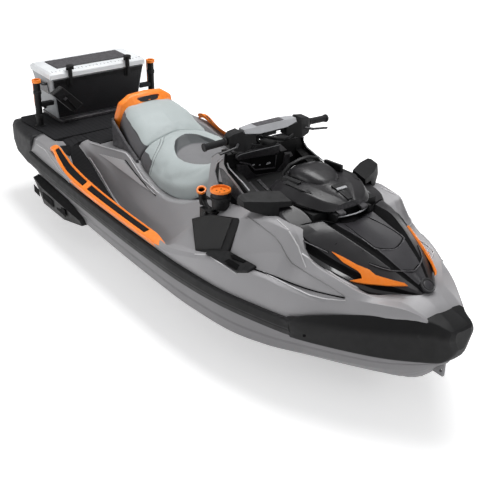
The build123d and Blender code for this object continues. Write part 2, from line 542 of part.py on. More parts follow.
pad_s = loft_rings([[(x, y, z) for x, z in ring] for y, ring in (
    (-0.168, [(0.400, 1.058), (0.406, 1.078), (0.450, 1.078), (0.462, 1.060)]),
    (-0.090, [(0.384, 1.050), (0.397, 1.082), (0.456, 1.081), (0.478, 1.050)]),
    (0.090, [(0.384, 1.050), (0.397, 1.082), (0.456, 1.081), (0.478, 1.050)]),
    (0.168, [(0.400, 1.058), (0.406, 1.078), (0.450, 1.078), (0.462, 1.060)]))])
pad_s = cut(pad_s, bar, column)
save(pad_s, "handlebar_pad")
grip = cut(fuse(rod((0.4313, 0.270, 1.0296), H3, 0.0175), rod((0.4273, 0.388, 1.0244), (0.4268, 0.400, 1.0238), 0.0215)), bar)
save(both(grip), "handgrips")
hous = cut(loft_rings([
    [(0.408, 0.100, 0.998), (0.466, 0.100, 0.998), (0.462, 0.100, 1.044), (0.410, 0.100, 1.044)],
    [(0.400, 0.170, 0.976), (0.484, 0.170, 0.976), (0.470, 0.170, 1.056), (0.400, 0.170, 1.056)],
    [(0.400, 0.190, 0.974), (0.486, 0.190, 0.974), (0.470, 0.190, 1.078), (0.400, 0.190, 1.078)],
    [(0.402, 0.240, 0.985), (0.474, 0.240, 0.985), (0.462, 0.240, 1.072), (0.404, 0.240, 1.072)],
    [(0.408, 0.264, 1.004), (0.458, 0.264, 1.004), (0.452, 0.264, 1.056), (0.410, 0.264, 1.056)]]), bar, pad_s)
save(both(hous), "control_housings")
lever = fuse(rod((0.466, 0.215, 1.018), (0.500, 0.250, 1.014), 0.007), ball((0.500, 0.250, 1.014), 0.007),
             rod((0.500, 0.250, 1.014), (0.498, 0.345, 1.000), 0.006), ball((0.498, 0.345, 1.000), 0.006))
lever = cut(lever, hous)
save(both(lever), "control_levers")

# --- deck fittings -------------------------------------------------------------
cleat = loft_rings([[(0.760, 0.480, 0.560), (0.760, 0.572, 0.560), (0.760, 0.572, 0.602), (0.760, 0.540, 0.632), (0.760, 0.480, 0.650)],
                    [(0.990, 0.420, 0.560), (0.990, 0.500, 0.560), (0.990, 0.500, 0.585), (0.990, 0.472, 0.628), (0.990, 0.420, 0.650)]])
cleat = cut(cleat, deck)
save(both(cleat), "side_cleats")

# display slab standing against the starboard shoulder, with the holders above it
FINDER = [(0.5765, -0.5561, 0.5463), (0.7945, -0.5069, 0.6287), (0.7597, -0.3998, 0.7642), (0.5229, -0.4298, 0.7050), (0.4074, -0.4685, 0.6451)]
FINDER_N = (-0.05263443, -0.79006526, 0.61075896)
fd = FINDER[0][0] * FINDER_N[0] + FINDER[0][1] * FINDER_N[1] + FINDER[0][2] * FINDER_N[2]


def to_plane(p, n, d):
    """Point moved along n onto the plane n.p = d."""
    t = d - sum(p[i] * n[i] for i in range(3))
    return tuple(p[i] + n[i] * t for i in range(3))


FINDER = [to_plane(p, FINDER_N, fd) for p in FINDER]
finder = largest(cut(prism(FINDER, tuple(-0.032 * v for v in FINDER_N)), deck))
save(finder, "fish_finder")
cx, cy = CUP_AT
cup = cut(rod((cx, cy, 0.716), (cx, cy, 0.806), CUP_R - 0.006, CUP_R), rod((cx, cy, 0.726), (cx, cy, 0.82), CUP_R - 0.010, CUP_R - 0.0035))
rim = cut(rod((cx, cy, 0.806), (cx, cy, 0.819), CUP_R + 0.004), rod((cx, cy, 0.78), (cx, cy, 0.85), CUP_R - 0.0035))
hr, hd = (0.392, -0.392, 0.776), (0.30, -0.30, 0.906)
hn = math.sqrt(sum(v * v for v in hd))
hd = tuple(v / hn for v in hd)


def along(p, d, t):
    return tuple(p[i] + d[i] * t for i in range(3))


rodh = cut(rod(along(hr, hd, -0.095), hr, 0.0205), rod(along(hr, hd, -0.080), along(hr, hd, 0.05), 0.0170), deck)
ring = cut(rod(hr, along(hr, hd, 0.012), 0.0265), rod(along(hr, hd, -0.05), along(hr, hd, 0.05), 0.0170))
cup = cut(cup, deck)
save(cup, "cup_holder")
save(rim, "cup_rim")
save(ring, "front_rod_ring")
save(rodh, "front_rod_tube")
mount = fuse(block((0.415, -0.420, 0.645), (0.520, -0.372, 0.700)), rod((0.470, -0.395, 0.690), along(hr, hd, -0.060), 0.011),
             rod((0.490, -0.392, 0.690), (cx, cy - 0.030, 0.724), 0.011))
mount = largest(cut(mount, deck, cup, rodh, finder, rod((cx, cy, 0.7165), (cx, cy, 0.80), CUP_R - 0.006)))
save(mount, "accessory_mount")

# --- sponsons -------------------------------------------------------------------
spon = loft_rings([
    [(-1.370, 0.500, 0.215), (-1.370, 0.560, 0.205), (-1.370, 0.585, 0.285), (-1.370, 0.540, 0.300)],
    [(-1.200, 0.505, 0.175), (-1.200, 0.598, 0.160), (-1.200, 0.605, 0.275), (-1.200, 0.550, 0.300)],
    [(-0.900, 0.520, 0.170), (-0.900, 0.600, 0.160), (-0.900, 0.608, 0.260), (-0.900, 0.565, 0.290)],
    [(-0.700, 0.530, 0.185), (-0.700, 0.572, 0.185), (-0.700, 0.585, 0.225), (-0.700, 0.560, 0.240)]])
spon = cut(spon, hull)
save(both(spon), "sponsons")

# --- cooler on the platform ---------------------------------------------------
base = cut(block((-1.780, -0.300, 0.560), (-1.480, 0.300, 0.592)), rear_mat, plat, deck)
save(base, "cooler_base")
CB = [(0.592, -1.740, -1.520, 0.300), (0.640, -1.752, -1.510, 0.310), (0.860, -1.780, -1.482, 0.345), (0.876, -1.784, -1.478, 0.350)]
body = loft_rings([[(x0, -w, z), (x1, -w, z), (x1, w, z), (x0, w, z)] for z, x0, x1, w in CB])
cav = loft_rings([[(x0 + 0.035, -w + 0.035, z), (x1 - 0.035, -w + 0.035, z), (x1 - 0.035, w - 0.035, z), (x0 + 0.035, w - 0.035, z)]
                  for z, x0, x1, w in [(0.632, -1.745, -1.515, 0.305), (0.900, -1.786, -1.476, 0.352)]])
body = cut(body, cav)
save(body, "cooler_body")
LZ = 0.881
clid = loft_rings([[(x0, -w, z), (x1, -w, z), (x1, w, z), (x0, w, z)] for z, x0, x1, w in
                   [(LZ, COOLER_REAR, COOLER_FRONT, COOLER_HALF), (LZ + 0.030, COOLER_REAR, COOLER_FRONT, COOLER_HALF), (LZ + 0.045, COOLER_REAR + 0.012, COOLER_FRONT - 0.012, COOLER_HALF - 0.012)]])
for y in (-0.2, 0.2):
    clid = fuse(clid, rod((COOLER_HINGE[0], y - 0.03, COOLER_HINGE[2]), (COOLER_HINGE[0], y + 0.03, COOLER_HINGE[2]), 0.006),
                block((COOLER_HINGE[0], y - 0.03, COOLER_HINGE[2] - 0.003), (COOLER_REAR + 0.004, y + 0.03, COOLER_HINGE[2] + 0.006)))
save(clid, "cooler_lid")
cpad = block((COOLER_REAR + 0.050, -0.270, LZ + 0.045), (COOLER_FRONT - 0.075, 0.270, LZ + 0.051))
save(cpad, "cooler_lid_pad")


def latch(y):
    a = block((COOLER_FRONT + 0.0005, y - 0.012, LZ + 0.004), (COOLER_FRONT + 0.016, y + 0.012, LZ + 0.062))
    b = block((COOLER_FRONT + 0.0005, y - 0.026, LZ + 0.052), (COOLER_FRONT + 0.016, y + 0.026, LZ + 0.066))
    c = block((COOLER_FRONT + 0.006, y - 0.010, LZ - 0.060), (COOLER_FRONT + 0.018, y + 0.010, LZ + 0.010))
    return fuse(a, b, c)


save(Compound(children=[latch(-0.215), latch(0.215)]), "cooler_latches")

# rod holders beside the cooler
PX, PY = -1.528, 0.432


def pole(s):
    p = cut(rod((PX, s * PY, 0.560), (PX, s * PY, 0.866), 0.0225), rod((PX, s * PY, 0.640), (PX, s * PY, 0.90), 0.0185))
    f = rod((PX, s * PY, 0.560), (PX, s * PY, 0.574), 0.036)
    b = block((PX - 0.03, min(s * 0.405, s * 0.350), 0.700), (PX + 0.01, max(s * 0.405, s * 0.350), 0.730))
    return cut(fuse(p, f), rear_mat, plat, deck, base, body)


poles = Compound(children=[pole(-1), pole(1)])
save(poles, "rear_rod_holders")


def cap(s):
    c = cut(rod((PX, s * PY, 0.866), (PX, s * PY, 0.886), 0.030), rod((PX, s * PY, 0.80), (PX, s * PY, 0.90), 0.0185))
    t = block((PX - 0.034, s * PY - 0.010, 0.790), (PX - 0.0245, s * PY + 0.010, 0.880))
    return fuse(c, t)


save(Compound(children=[cap(-1), cap(1)]), "rod_holder_caps")

# tool holder strapped to the cooler's front corner
tool = loft_rings([
    [(-1.468, -0.375, 0.800), (-1.468, -0.300, 0.840), (-1.410, -0.300, 0.840), (-1.410, -0.375, 0.800)],
    [(-1.468, -0.240, 0.660), (-1.468, -0.160, 0.700), (-1.410, -0.160, 0.700), (-1.410, -0.240, 0.660)]])
tool = cut(tool, body, poles)
save(tool, "tool_holder")

# --- jet drive ------------------------------------------------------------------
PUMP_TAIL = -1.455
pump = cut(fuse(rod((-1.375, 0, SHAFT_Z), (-1.150, 0, SHAFT_Z), 0.098), rod((PUMP_TAIL, 0, SHAFT_Z), (-1.375, 0, SHAFT_Z), 0.062, 0.090)),
           rod((-1.380, 0, SHAFT_Z), (-1.10, 0, SHAFT_Z), 0.084), rod((-1.480, 0, SHAFT_Z), (-1.370, 0, SHAFT_Z), 0.044, 0.080))
foot = cut(block((-1.370, -0.1295, 0.205), (-1.200, 0.1295, 0.2645)), rod((-1.40, 0, SHAFT_Z), (-1.10, 0, SHAFT_Z), 0.090))
pump = fuse(pump, foot)
ears = [block((BUCKET_X - 0.018, s * 0.115 - 0.007, SHAFT_Z - 0.018), (-1.400, s * 0.115 + 0.007, SHAFT_Z + 0.018)) for s in (-1, 1)]
ears = [fuse(e, block((-1.440, min(s * 0.060, s * 0.108), SHAFT_Z - 0.018), (-1.400, max(s * 0.060, s * 0.108), SHAFT_Z + 0.018))) for e, s in zip(ears, (-1, 1))]
ears = [cut(e, rod((PUMP_TAIL - 0.02, 0, SHAFT_Z), (-1.375, 0, SHAFT_Z), 0.054, 0.0895), rod((BUCKET_X, -0.2, SHAFT_Z), (BUCKET_X, 0.2, SHAFT_Z), 0.0062)) for e in ears]
pump = fuse(pump, *ears)
for s in (-1, 1):
    z0, z1 = sorted((SHAFT_Z + s * 0.0755, SHAFT_Z + s * 0.0835))
    tab = fuse(block((-1.514, -0.014, z0), (-1.395, 0.014, z1)))
    tab = cut(tab, rod((NOZZLE_X, 0, SHAFT_Z - 0.12), (NOZZLE_X, 0, SHAFT_Z + 0.12), 0.0046), rod((-1.380, 0, SHAFT_Z), (-1.10, 0, SHAFT_Z), 0.084))
    pump = fuse(pump, tab)
save(pump, "jet_pump")
vane_hub = rod((-1.372, 0, SHAFT_Z), (-1.300, 0, SHAFT_Z), 0.030)
vanes = vane_hub
for k in range(6):
    a = math.radians(60 * k + 15)
    c, s = math.cos(a), math.sin(a)
    pts = [(-1.365, 0.026 * c - 0.003 * s, SHAFT_Z + 0.026 * s + 0.003 * c), (-1.365, 0.0838 * c - 0.003 * s, SHAFT_Z + 0.0838 * s + 0.003 * c),
           (-1.365, 0.0838 * c + 0.003 * s, SHAFT_Z + 0.0838 * s - 0.003 * c), (-1.365, 0.026 * c + 0.003 * s, SHAFT_Z + 0.026 * s - 0.003 * c)]
    vanes = vanes + prism(pts, (0.050, 0, 0))
save(solids_of(vanes), "stator")
imp = fuse(rod((-1.292, 0, SHAFT_Z), (-1.180, 0, SHAFT_Z), 0.030, 0.016), rod((-1.180, 0, SHAFT_Z), (-0.640, 0, SHAFT_Z), 0.014))
for k in range(4):
    a = math.radians(90 * k)
    rings = []
    for j in range(4):
        b = a + math.radians(22 * j)
        x = -1.280 + 0.022 * j
        c, s = math.cos(b), math.sin(b)
        rings.append([(x, 0.012 * c, SHAFT_Z + 0.012 * s), (x, 0.078 * c, SHAFT_Z + 0.078 * s),
                      (x + 0.006, 0.078 * c, SHAFT_Z + 0.078 * s), (x + 0.006, 0.012 * c, SHAFT_Z + 0.012 * s)])
    # blade as stepped wedges, so that each stays a clean solid
    for r0, r1 in zip(rings, rings[1:]):
        imp = imp + Solid.make_loft([poly_wire(r0), poly_wire(r1)], ruled=True)
save(solids_of(imp), "impeller")

noz = fuse(rod((-1.660, 0, SHAFT_Z), (-1.4855, 0, SHAFT_Z), 0.044, 0.062), rod((NOZZLE_X, 0, SHAFT_Z - 0.0745), (NOZZLE_X, 0, SHAFT_Z + 0.0745), 0.0100),
           rod((NOZZLE_X, 0, SHAFT_Z - 0.0860), (NOZZLE_X, 0, SHAFT_Z + 0.0860), 0.0040))
noz = cut(noz, rod((-1.670, 0, SHAFT_Z), (-1.480, 0, SHAFT_Z), 0.037, 0.056))
save(noz, "steering_nozzle")

# reversing bucket: curved plate carried by two arms, parked above the jet
BUCKET_IN, BUCKET_OUT = 0.138, 0.149
BUCKET_A0, BUCKET_A1 = 28.0, 84.0      # span of the plate above the tail end of the shaft line


def bucket_pt(r, deg, y):
    a = math.radians(deg)
    return (BUCKET_X - r * math.cos(a), y, SHAFT_Z + r * math.sin(a))


steps = [BUCKET_A0 + (BUCKET_A1 - BUCKET_A0) * k / 10 for k in range(11)]
plate_b = prism([bucket_pt(BUCKET_OUT, a, -0.1235) for a in steps] + [bucket_pt(BUCKET_IN, a, -0.1235) for a in reversed(steps)], (0, 0.247, 0))
arms = []
for s in (-1, 1):
    y0, y1 = (0.1235, 0.1335) if s > 0 else (-0.1335, -0.1235)
    arm = prism([(BUCKET_X + 0.014, y0, SHAFT_Z - 0.014), (BUCKET_X + 0.016, y0, SHAFT_Z + 0.016)] +
                [bucket_pt(BUCKET_OUT, a, y0) for a in reversed(steps)] + [(BUCKET_X - 0.014, y0, SHAFT_Z - 0.014)], (0, y1 - y0, 0))
    pin = rod((BUCKET_X, s * 0.1085, SHAFT_Z), (BUCKET_X, s * 0.1240, SHAFT_Z), 0.006)
    arms.append(fuse(arm, pin))
bkt = fuse(plate_b, *arms)
save(bkt, "reverse_bucket")

ride = cut(block((-1.440, -0.1295, 0.002), (-1.100, 0.1295, 0.012)), hull, pump)
save(ride, "ride_plate")
bars = [block((-1.099, y - 0.004, 0.006), (-0.700, y + 0.004, 0.018)) for y in (-0.06, -0.03, 0.0, 0.03, 0.06)]
grate = fuse(block((-1.0995, -0.085, 0.006), (-1.085, 0.085, 0.018)), *bars)
grate = fuse(grate, block((-0.712, -0.084, 0.006), (-0.700, 0.084, 0.018)))
grate = cut(grate, hull, ride)
save(grate, "intake_grate")

engine = block((-0.520, -0.210, 0.1355), (0.230, 0.210, 0.470))
save(engine, "engine_block")

# tow eyes: bow eye through the stem, stern eyes on the transom
eye = fuse(block((1.730, -0.007, 0.262), (1.790, 0.007, 0.350)))
eye = cut(eye, hull, bumper, rod((1.775, -0.05, 0.290), (1.775, 0.05, 0.290), 0.009))
save(eye, "bow_eye")
st = []
for s in (-1, 1):
    e = cut(block((-1.440, s * 0.42 - 0.006, 0.225), (-1.3905, s * 0.42 + 0.006, 0.275)), rod((-1.422, s * 0.42 - 0.05, 0.250), (-1.422, s * 0.42 + 0.05, 0.250), 0.010))
    st.append(e)
save(Compound(children=st), "stern_eyes")
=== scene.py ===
import bpy, bmesh, json, math
from mathutils import Vector, Matrix
from mathutils.kdtree import KDTree

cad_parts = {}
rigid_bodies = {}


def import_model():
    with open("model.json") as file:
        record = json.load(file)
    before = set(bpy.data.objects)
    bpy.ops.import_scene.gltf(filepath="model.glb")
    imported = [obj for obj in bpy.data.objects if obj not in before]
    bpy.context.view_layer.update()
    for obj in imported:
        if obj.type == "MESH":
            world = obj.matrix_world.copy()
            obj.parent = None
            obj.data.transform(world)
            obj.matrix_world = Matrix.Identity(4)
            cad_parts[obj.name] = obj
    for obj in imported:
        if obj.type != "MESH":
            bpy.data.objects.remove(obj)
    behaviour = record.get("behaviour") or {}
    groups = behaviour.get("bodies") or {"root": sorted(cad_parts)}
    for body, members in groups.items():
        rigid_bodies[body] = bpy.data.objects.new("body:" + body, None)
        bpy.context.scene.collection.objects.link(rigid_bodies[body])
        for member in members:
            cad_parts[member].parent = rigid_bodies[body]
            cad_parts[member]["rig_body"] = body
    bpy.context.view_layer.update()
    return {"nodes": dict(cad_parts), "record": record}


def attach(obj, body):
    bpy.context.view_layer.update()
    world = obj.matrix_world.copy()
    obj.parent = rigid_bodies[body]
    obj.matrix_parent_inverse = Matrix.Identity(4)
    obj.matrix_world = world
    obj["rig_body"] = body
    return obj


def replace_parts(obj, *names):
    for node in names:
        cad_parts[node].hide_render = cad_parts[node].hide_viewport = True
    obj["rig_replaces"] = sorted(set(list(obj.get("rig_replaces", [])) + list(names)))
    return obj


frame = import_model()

WL = 0.300                      # heights below are measured from the keel; z = 0 of the frame is the waterline
NODES = frame["nodes"]
NODE_BODY = {n: o["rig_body"] for n, o in NODES.items()}
scene = bpy.context.scene


# =============================================================================
# numbers
# =============================================================================
def pchip(xs, ys):
    n = len(xs)
    h = [xs[i + 1] - xs[i] for i in range(n - 1)]
    d = [(ys[i + 1] - ys[i]) / h[i] for i in range(n - 1)]
    m = [0.0] * n
    m[0], m[-1] = d[0], d[-1]
    for i in range(1, n - 1):
        if d[i - 1] * d[i] > 0:
            w1, w2 = 2 * h[i] + h[i - 1], h[i] + 2 * h[i - 1]
            m[i] = (w1 + w2) / (w1 / d[i - 1] + w2 / d[i])

    def f(x):
        if x <= xs[0]:
            return ys[0]
        if x >= xs[-1]:
            return ys[-1]
        i = 0
        while x > xs[i + 1]:
            i += 1
        t = (x - xs[i]) / h[i]
        return ((1 + 2 * t) * (1 - t) ** 2 * ys[i] + t * (1 - t) ** 2 * h[i] * m[i]
                + t * t * (3 - 2 * t) * ys[i + 1] + t * t * (t - 1) * h[i] * m[i + 1])
    return f


def table(rows):
    """[(x, a, b, ...)] -> function of x giving (a, b, ...), smooth and without overshoot."""
    xs = [r[0] for r in rows]
    fs = [pchip(xs, [r[i] for r in rows]) for i in range(1, len(rows[0]))]
    return lambda x: tuple(f(x) for f in fs)


def spread(a, b, step, extra=()):
    n = max(2, int(round((b - a) / step)) + 1)
    xs = [a + (b - a) * i / (n - 1) for i in range(n)]
    for e in extra:
        if a < e < b:
            i = min(range(1, len(xs) - 1), key=lambda k: abs(xs[k] - e))
            xs[i] = e
    return xs


def fillet(poly, rad, k=3, closed=False):
    """Rounds the corners of a polyline of equal-length tuples; rad gives one radius for each corner."""
    n, out, src = len(poly), [], []
    for i in range(n):
        r = rad[i]
        if r <= 0 or (not closed and i in (0, n - 1)):
            out.append(tuple(poly[i])); src.append(i)
            continue
        p0, p1, p2 = Vector(poly[i - 1]), Vector(poly[i]), Vector(poly[(i + 1) % n])
        l1, l2 = max((p1 - p0).length, 1e-9), max((p2 - p1).length, 1e-9)
        a = p1 + (p0 - p1) * (min(r, 0.46 * l1) / l1)
        b = p1 + (p2 - p1) * (min(r, 0.46 * l2) / l2)
        for j in range(k + 1):
            t = j / k
            out.append(tuple(a * (1 - t) ** 2 + p1 * (2 * t * (1 - t)) + b * t * t)); src.append(i)
    return out, src


def catmull(pts, n, closed=False):
    """n points along a smooth curve through pts."""
    P = [Vector(p) for p in pts]
    m = len(P)
    segs = m if closed else m - 1
    out = []
    for q in range(n):
        u = segs * q / (n if closed else n - 1)
        i = min(int(u), segs - 1)
        t = u - i
        g = (lambda k: P[k % m]) if closed else (lambda k: P[min(max(k, 0), m - 1)])
        a, b, c, d = g(i - 1), g(i), g(i + 1), g(i + 2)
        out.append(0.5 * ((2 * b) + (c - a) * t + (2 * a - 5 * b + 4 * c - d) * t * t + (3 * b - a - 3 * c + d) * t ** 3))
    return out


# =============================================================================
# materials
# =============================================================================
def lin(c):
    """sRGB 0-255 to linear."""
    return tuple(((v / 255) / 12.92 if v / 255 <= 0.04045 else ((v / 255 + 0.055) / 1.055) ** 2.4) for v in c)


class Mat:
    def __init__(self, name):
        self.m = bpy.data.materials.new(name)
        self.m.use_nodes = True
        self.t = self.m.node_tree
        self.n, self.l = self.t.nodes, self.t.links
        self.b = self.n["Principled BSDF"]
        self.tc = self.n.new("ShaderNodeTexCoord")

    def new(self, kind, **kw):
        node = self.n.new(kind)
        for k, v in kw.items():
            setattr(node, k, v)
        return node

    def noise(self, scale, detail=4, rough=0.55, stretch=None):
        nz = self.new("ShaderNodeTexNoise")
        nz.inputs["Scale"].default_value = scale
        nz.inputs["Detail"].default_value = detail
        nz.inputs["Roughness"].default_value = rough
        src = self.tc.outputs["Object"]
        if stretch:
            mp = self.new("ShaderNodeMapping")
            mp.inputs["Scale"].default_value = stretch
            self.l.new(src, mp.inputs["Vector"])
            src = mp.outputs["Vector"]
        self.l.new(src, nz.inputs["Vector"])
        return nz.outputs["Fac"]

    def ramp(self, fac, stops):
        r = self.new("ShaderNodeValToRGB")
        els = r.color_ramp.elements
        while len(els) < len(stops):
            els.new(0.5)
        for e, (p, c) in zip(els, stops):
            e.position = p
            e.color = (c[0], c[1], c[2], 1) if hasattr(c, "__len__") else (c, c, c, 1)
        self.l.new(fac, r.inputs["Fac"])
        return r.outputs["Color"]

    def mapr(self, fac, a, b, lo, hi):
        r = self.new("ShaderNodeMapRange")
        for k, v in zip(("From Min", "From Max", "To Min", "To Max"), (a, b, lo, hi)):
            r.inputs[k].default_value = v
        self.l.new(fac, r.inputs["Value"])
        return r.outputs["Result"]

    def math(self, op, a, b=None, clamp=False):
        r = self.new("ShaderNodeMath", operation=op)
        r.use_clamp = clamp
        for i, v in enumerate((a, b)):
            if v is None:
                continue
            if isinstance(v, (int, float)):
                r.inputs[i].default_value = v
            else:
                self.l.new(v, r.inputs[i])
        return r.outputs[0]

    def mix(self, fac, a, b):
        r = self.new("ShaderNodeMix", data_type="RGBA")
        for sock, v in ((r.inputs[0], fac), (r.inputs[6], a), (r.inputs[7], b)):
            if isinstance(v, (int, float)):
                sock.default_value = v
            elif hasattr(v, "__len__"):
                sock.default_value = (v[0], v[1], v[2], 1)
            else:
                self.l.new(v, sock)
        return r.outputs[2]

    def bump(self, height, strength, dist, prev=None):
        r = self.new("ShaderNodeBump")
        r.inputs["Strength"].default_value = strength
        r.inputs["Distance"].default_value = dist
        self.l.new(height, r.inputs["Height"])
        if prev is not None:
            self.l.new(prev, r.inputs["Normal"])
        return r.outputs["Normal"]

    def out(self, color=None, rough=None, normal=None, **consts):
        for sock, v in (("Base Color", color), ("Roughness", rough), ("Normal", normal)):
            if v is None:
                continue
            if isinstance(v, (int, float)):
                self.b.inputs[sock].default_value = v
            elif hasattr(v, "__len__"):
                self.b.inputs[sock].default_value = (v[0], v[1], v[2], 1)
            else:
                self.l.new(v, self.b.inputs[sock])
        names = {"metal": "Metallic", "spec": "Specular IOR Level", "coat": "Coat Weight", "coat_rough": "Coat Roughness",
                 "sheen": "Sheen Weight", "sheen_rough": "Sheen Roughness", "emit": "Emission Strength"}
        for k, v in consts.items():
            self.b.inputs[names[k]].default_value = v
        return self.m


def shade(c, k):
    return tuple(v * k for v in c)


def lighten_convex_edges(M, col, amount, bright):
    """Lightens the convex edges, found by pointiness and broken up by noise."""
    g = M.new("ShaderNodeNewGeometry")
    e = M.mapr(g.outputs["Pointiness"], 0.515, 0.56, 0.0, amount)
    n = M.noise(60, 3)
    f = M.math("MULTIPLY", e, M.mapr(n, 0.35, 0.65, 0.2, 1.0), clamp=True)
    return M.mix(f, col, bright)


def gelcoat(name, base, metal=0.30, rough=0.42):
    M = Mat(name)
    big = M.noise(2.2, 3, 0.5)
    c = M.ramp(big, [(0.30, shade(base, 0.93)), (0.70, shade(base, 1.06))])
    v = M.new("ShaderNodeTexVoronoi")
    v.inputs["Scale"].default_value = 1400
    M.l.new(M.tc.outputs["Object"], v.inputs["Vector"])
    fl = M.mapr(v.outputs["Distance"], 0.0, 0.7, 0.12, 0.0)
    c = M.mix(fl, c, shade(base, 1.6))
    r = M.mapr(M.noise(9, 4), 0.3, 0.7, rough - 0.04, rough + 0.05)
    n = M.bump(M.noise(700, 2), 0.03, 0.0003)
    return M.out(c, r, n, metal=metal, spec=0.4, coat=0.15, coat_rough=0.28)


def plastic(name, base, rough=0.5, grain=900, depth=0.12, spec=0.35, edge_light=0.25, edge_light_to=None, coat=0.0, dust=0.05):
    M = Mat(name)
    c = M.ramp(M.noise(5, 4), [(0.3, shade(base, 1 - dust * 1.6)), (0.7, shade(base, 1 + dust * 2.2))])
    c = lighten_convex_edges(M, c, edge_light, edge_light_to or shade(base, 1.9))
    r = M.mapr(M.noise(24, 5), 0.3, 0.7, rough - 0.05, rough + 0.07)
    v = M.new("ShaderNodeTexVoronoi")
    v.inputs["Scale"].default_value = grain
    M.l.new(M.tc.outputs["Object"], v.inputs["Vector"])
    n = M.bump(v.outputs["Distance"], depth, 0.0006)
    return M.out(c, r, n, spec=spec, coat=coat, coat_rough=0.08)


def vinyl(name, base, rough=0.52, fine=420):
    M = Mat(name)
    c = M.ramp(M.noise(7, 4), [(0.3, shade(base, 0.95)), (0.7, shade(base, 1.04))])
    v = M.new("ShaderNodeTexVoronoi", feature="SMOOTH_F1")
    v.inputs["Scale"].default_value = fine
    M.l.new(M.tc.outputs["Object"], v.inputs["Vector"])
    c = M.mix(M.mapr(v.outputs["Distance"], 0.2, 0.8, 0.0, 0.12), c, shade(base, 0.72))
    n = M.bump(v.outputs["Distance"], 0.22, 0.0007)
    n = M.bump(M.noise(60, 3), 0.05, 0.002, n)
    return M.out(c, M.mapr(M.noise(30, 3), 0.3, 0.7, rough - 0.05, rough + 0.05), n, spec=0.35, sheen=0.08, sheen_rough=0.5)


def wave(M, axis, scale, distort=0.0, profile="SIN"):
    w = M.new("ShaderNodeTexWave", wave_type="BANDS", bands_direction=axis, wave_profile=profile)
    w.inputs["Scale"].default_value = scale
    w.inputs["Distortion"].default_value = distort
    M.l.new(M.tc.outputs["Object"], w.inputs["Vector"])
    return w.outputs["Fac"]


def mat_foam(name, base, axis="X", scale=16):
    M = Mat(name)
    w = wave(M, axis, scale)
    groove = M.mapr(w, 0.0, 0.16, 0.0, 1.0)
    # the grooves are painted darker: painted shade in the grooves, which the bump also sinks
    c = M.mix(groove, shade(base, 0.45), M.ramp(M.noise(40, 4), [(0.3, shade(base, 0.9)), (0.7, shade(base, 1.15))]))
    n = M.bump(groove, 0.5, 0.0015)
    n = M.bump(M.noise(500, 3), 0.25, 0.0006, n)
    return M.out(c, 0.78, n, spec=0.2)


def metal(name, base, rough=0.28, brushed=True):
    M = Mat(name)
    c = M.ramp(M.noise(12, 5), [(0.3, shade(base, 0.9)), (0.7, shade(base, 1.05))])
    nz = M.noise(90, 4, 0.6, (1, 14, 14) if brushed else None)
    n = M.bump(nz, 0.10 if brushed else 0.3, 0.0006)
    return M.out(c, M.mapr(nz, 0.3, 0.7, rough - 0.06, rough + 0.1), n, metal=1.0, spec=0.5)


def woven(name, base):
    M = Mat(name)
    a, b = wave(M, "X", 260), wave(M, "Z", 260)
    w = M.math("MULTIPLY", a, b)
    # the weave is painted lighter where it is raised and darker in its hollows: painted highlight and painted shade
    c = M.mix(M.mapr(w, 0.1, 0.7, 0.0, 1.0), shade(base, 0.6), shade(base, 1.35))
    n = M.bump(w, 0.4, 0.0008)
    return M.out(c, 0.75, n, spec=0.2, sheen=0.3, sheen_rough=0.4)


def ribbed(name, base, axis="Y", scale=70):
    M = Mat(name)
    w = wave(M, axis, scale)
    # the ribs are painted lighter on their crests and darker between them: painted highlight and painted shade
    c = M.mix(M.mapr(w, 0.2, 0.8, 0.0, 1.0), shade(base, 0.6), shade(base, 1.15))
    n = M.bump(w, 0.6, 0.0015)
    n = M.bump(M.noise(400, 3), 0.2, 0.0005, n)
    return M.out(c, 0.66, n, spec=0.25)


def perforated(name, base):
    """Dark panel with a grid of small round holes, laid over y and z; the holes are painted darker as painted shade and
    sunk by the bump.
    """
    M = Mat(name)
    a = M.math("ABSOLUTE", M.math("SINE", M.math("MULTIPLY", axis_of(M, "Y"), math.pi / 0.017)))
    b = M.math("ABSOLUTE", M.math("SINE", M.math("MULTIPLY", axis_of(M, "Z"), math.pi / 0.017)))
    h = M.mapr(M.math("MULTIPLY", a, b), 0.72, 0.86, 0.0, 1.0)
    c = M.mix(h, M.ramp(M.noise(9, 4), [(0.3, shade(base, 1.1)), (0.7, shade(base, 1.6))]), shade(base, 0.25))
    n = M.bump(M.math("SUBTRACT", 1.0, h), 0.5, 0.0015)
    return M.out(c, 0.5, n, spec=0.3)


def axis_of(M, ax):
    s = M.new("ShaderNodeSeparateXYZ")
    M.l.new(M.tc.outputs["Object"], s.inputs[0])
    return s.outputs[ax]


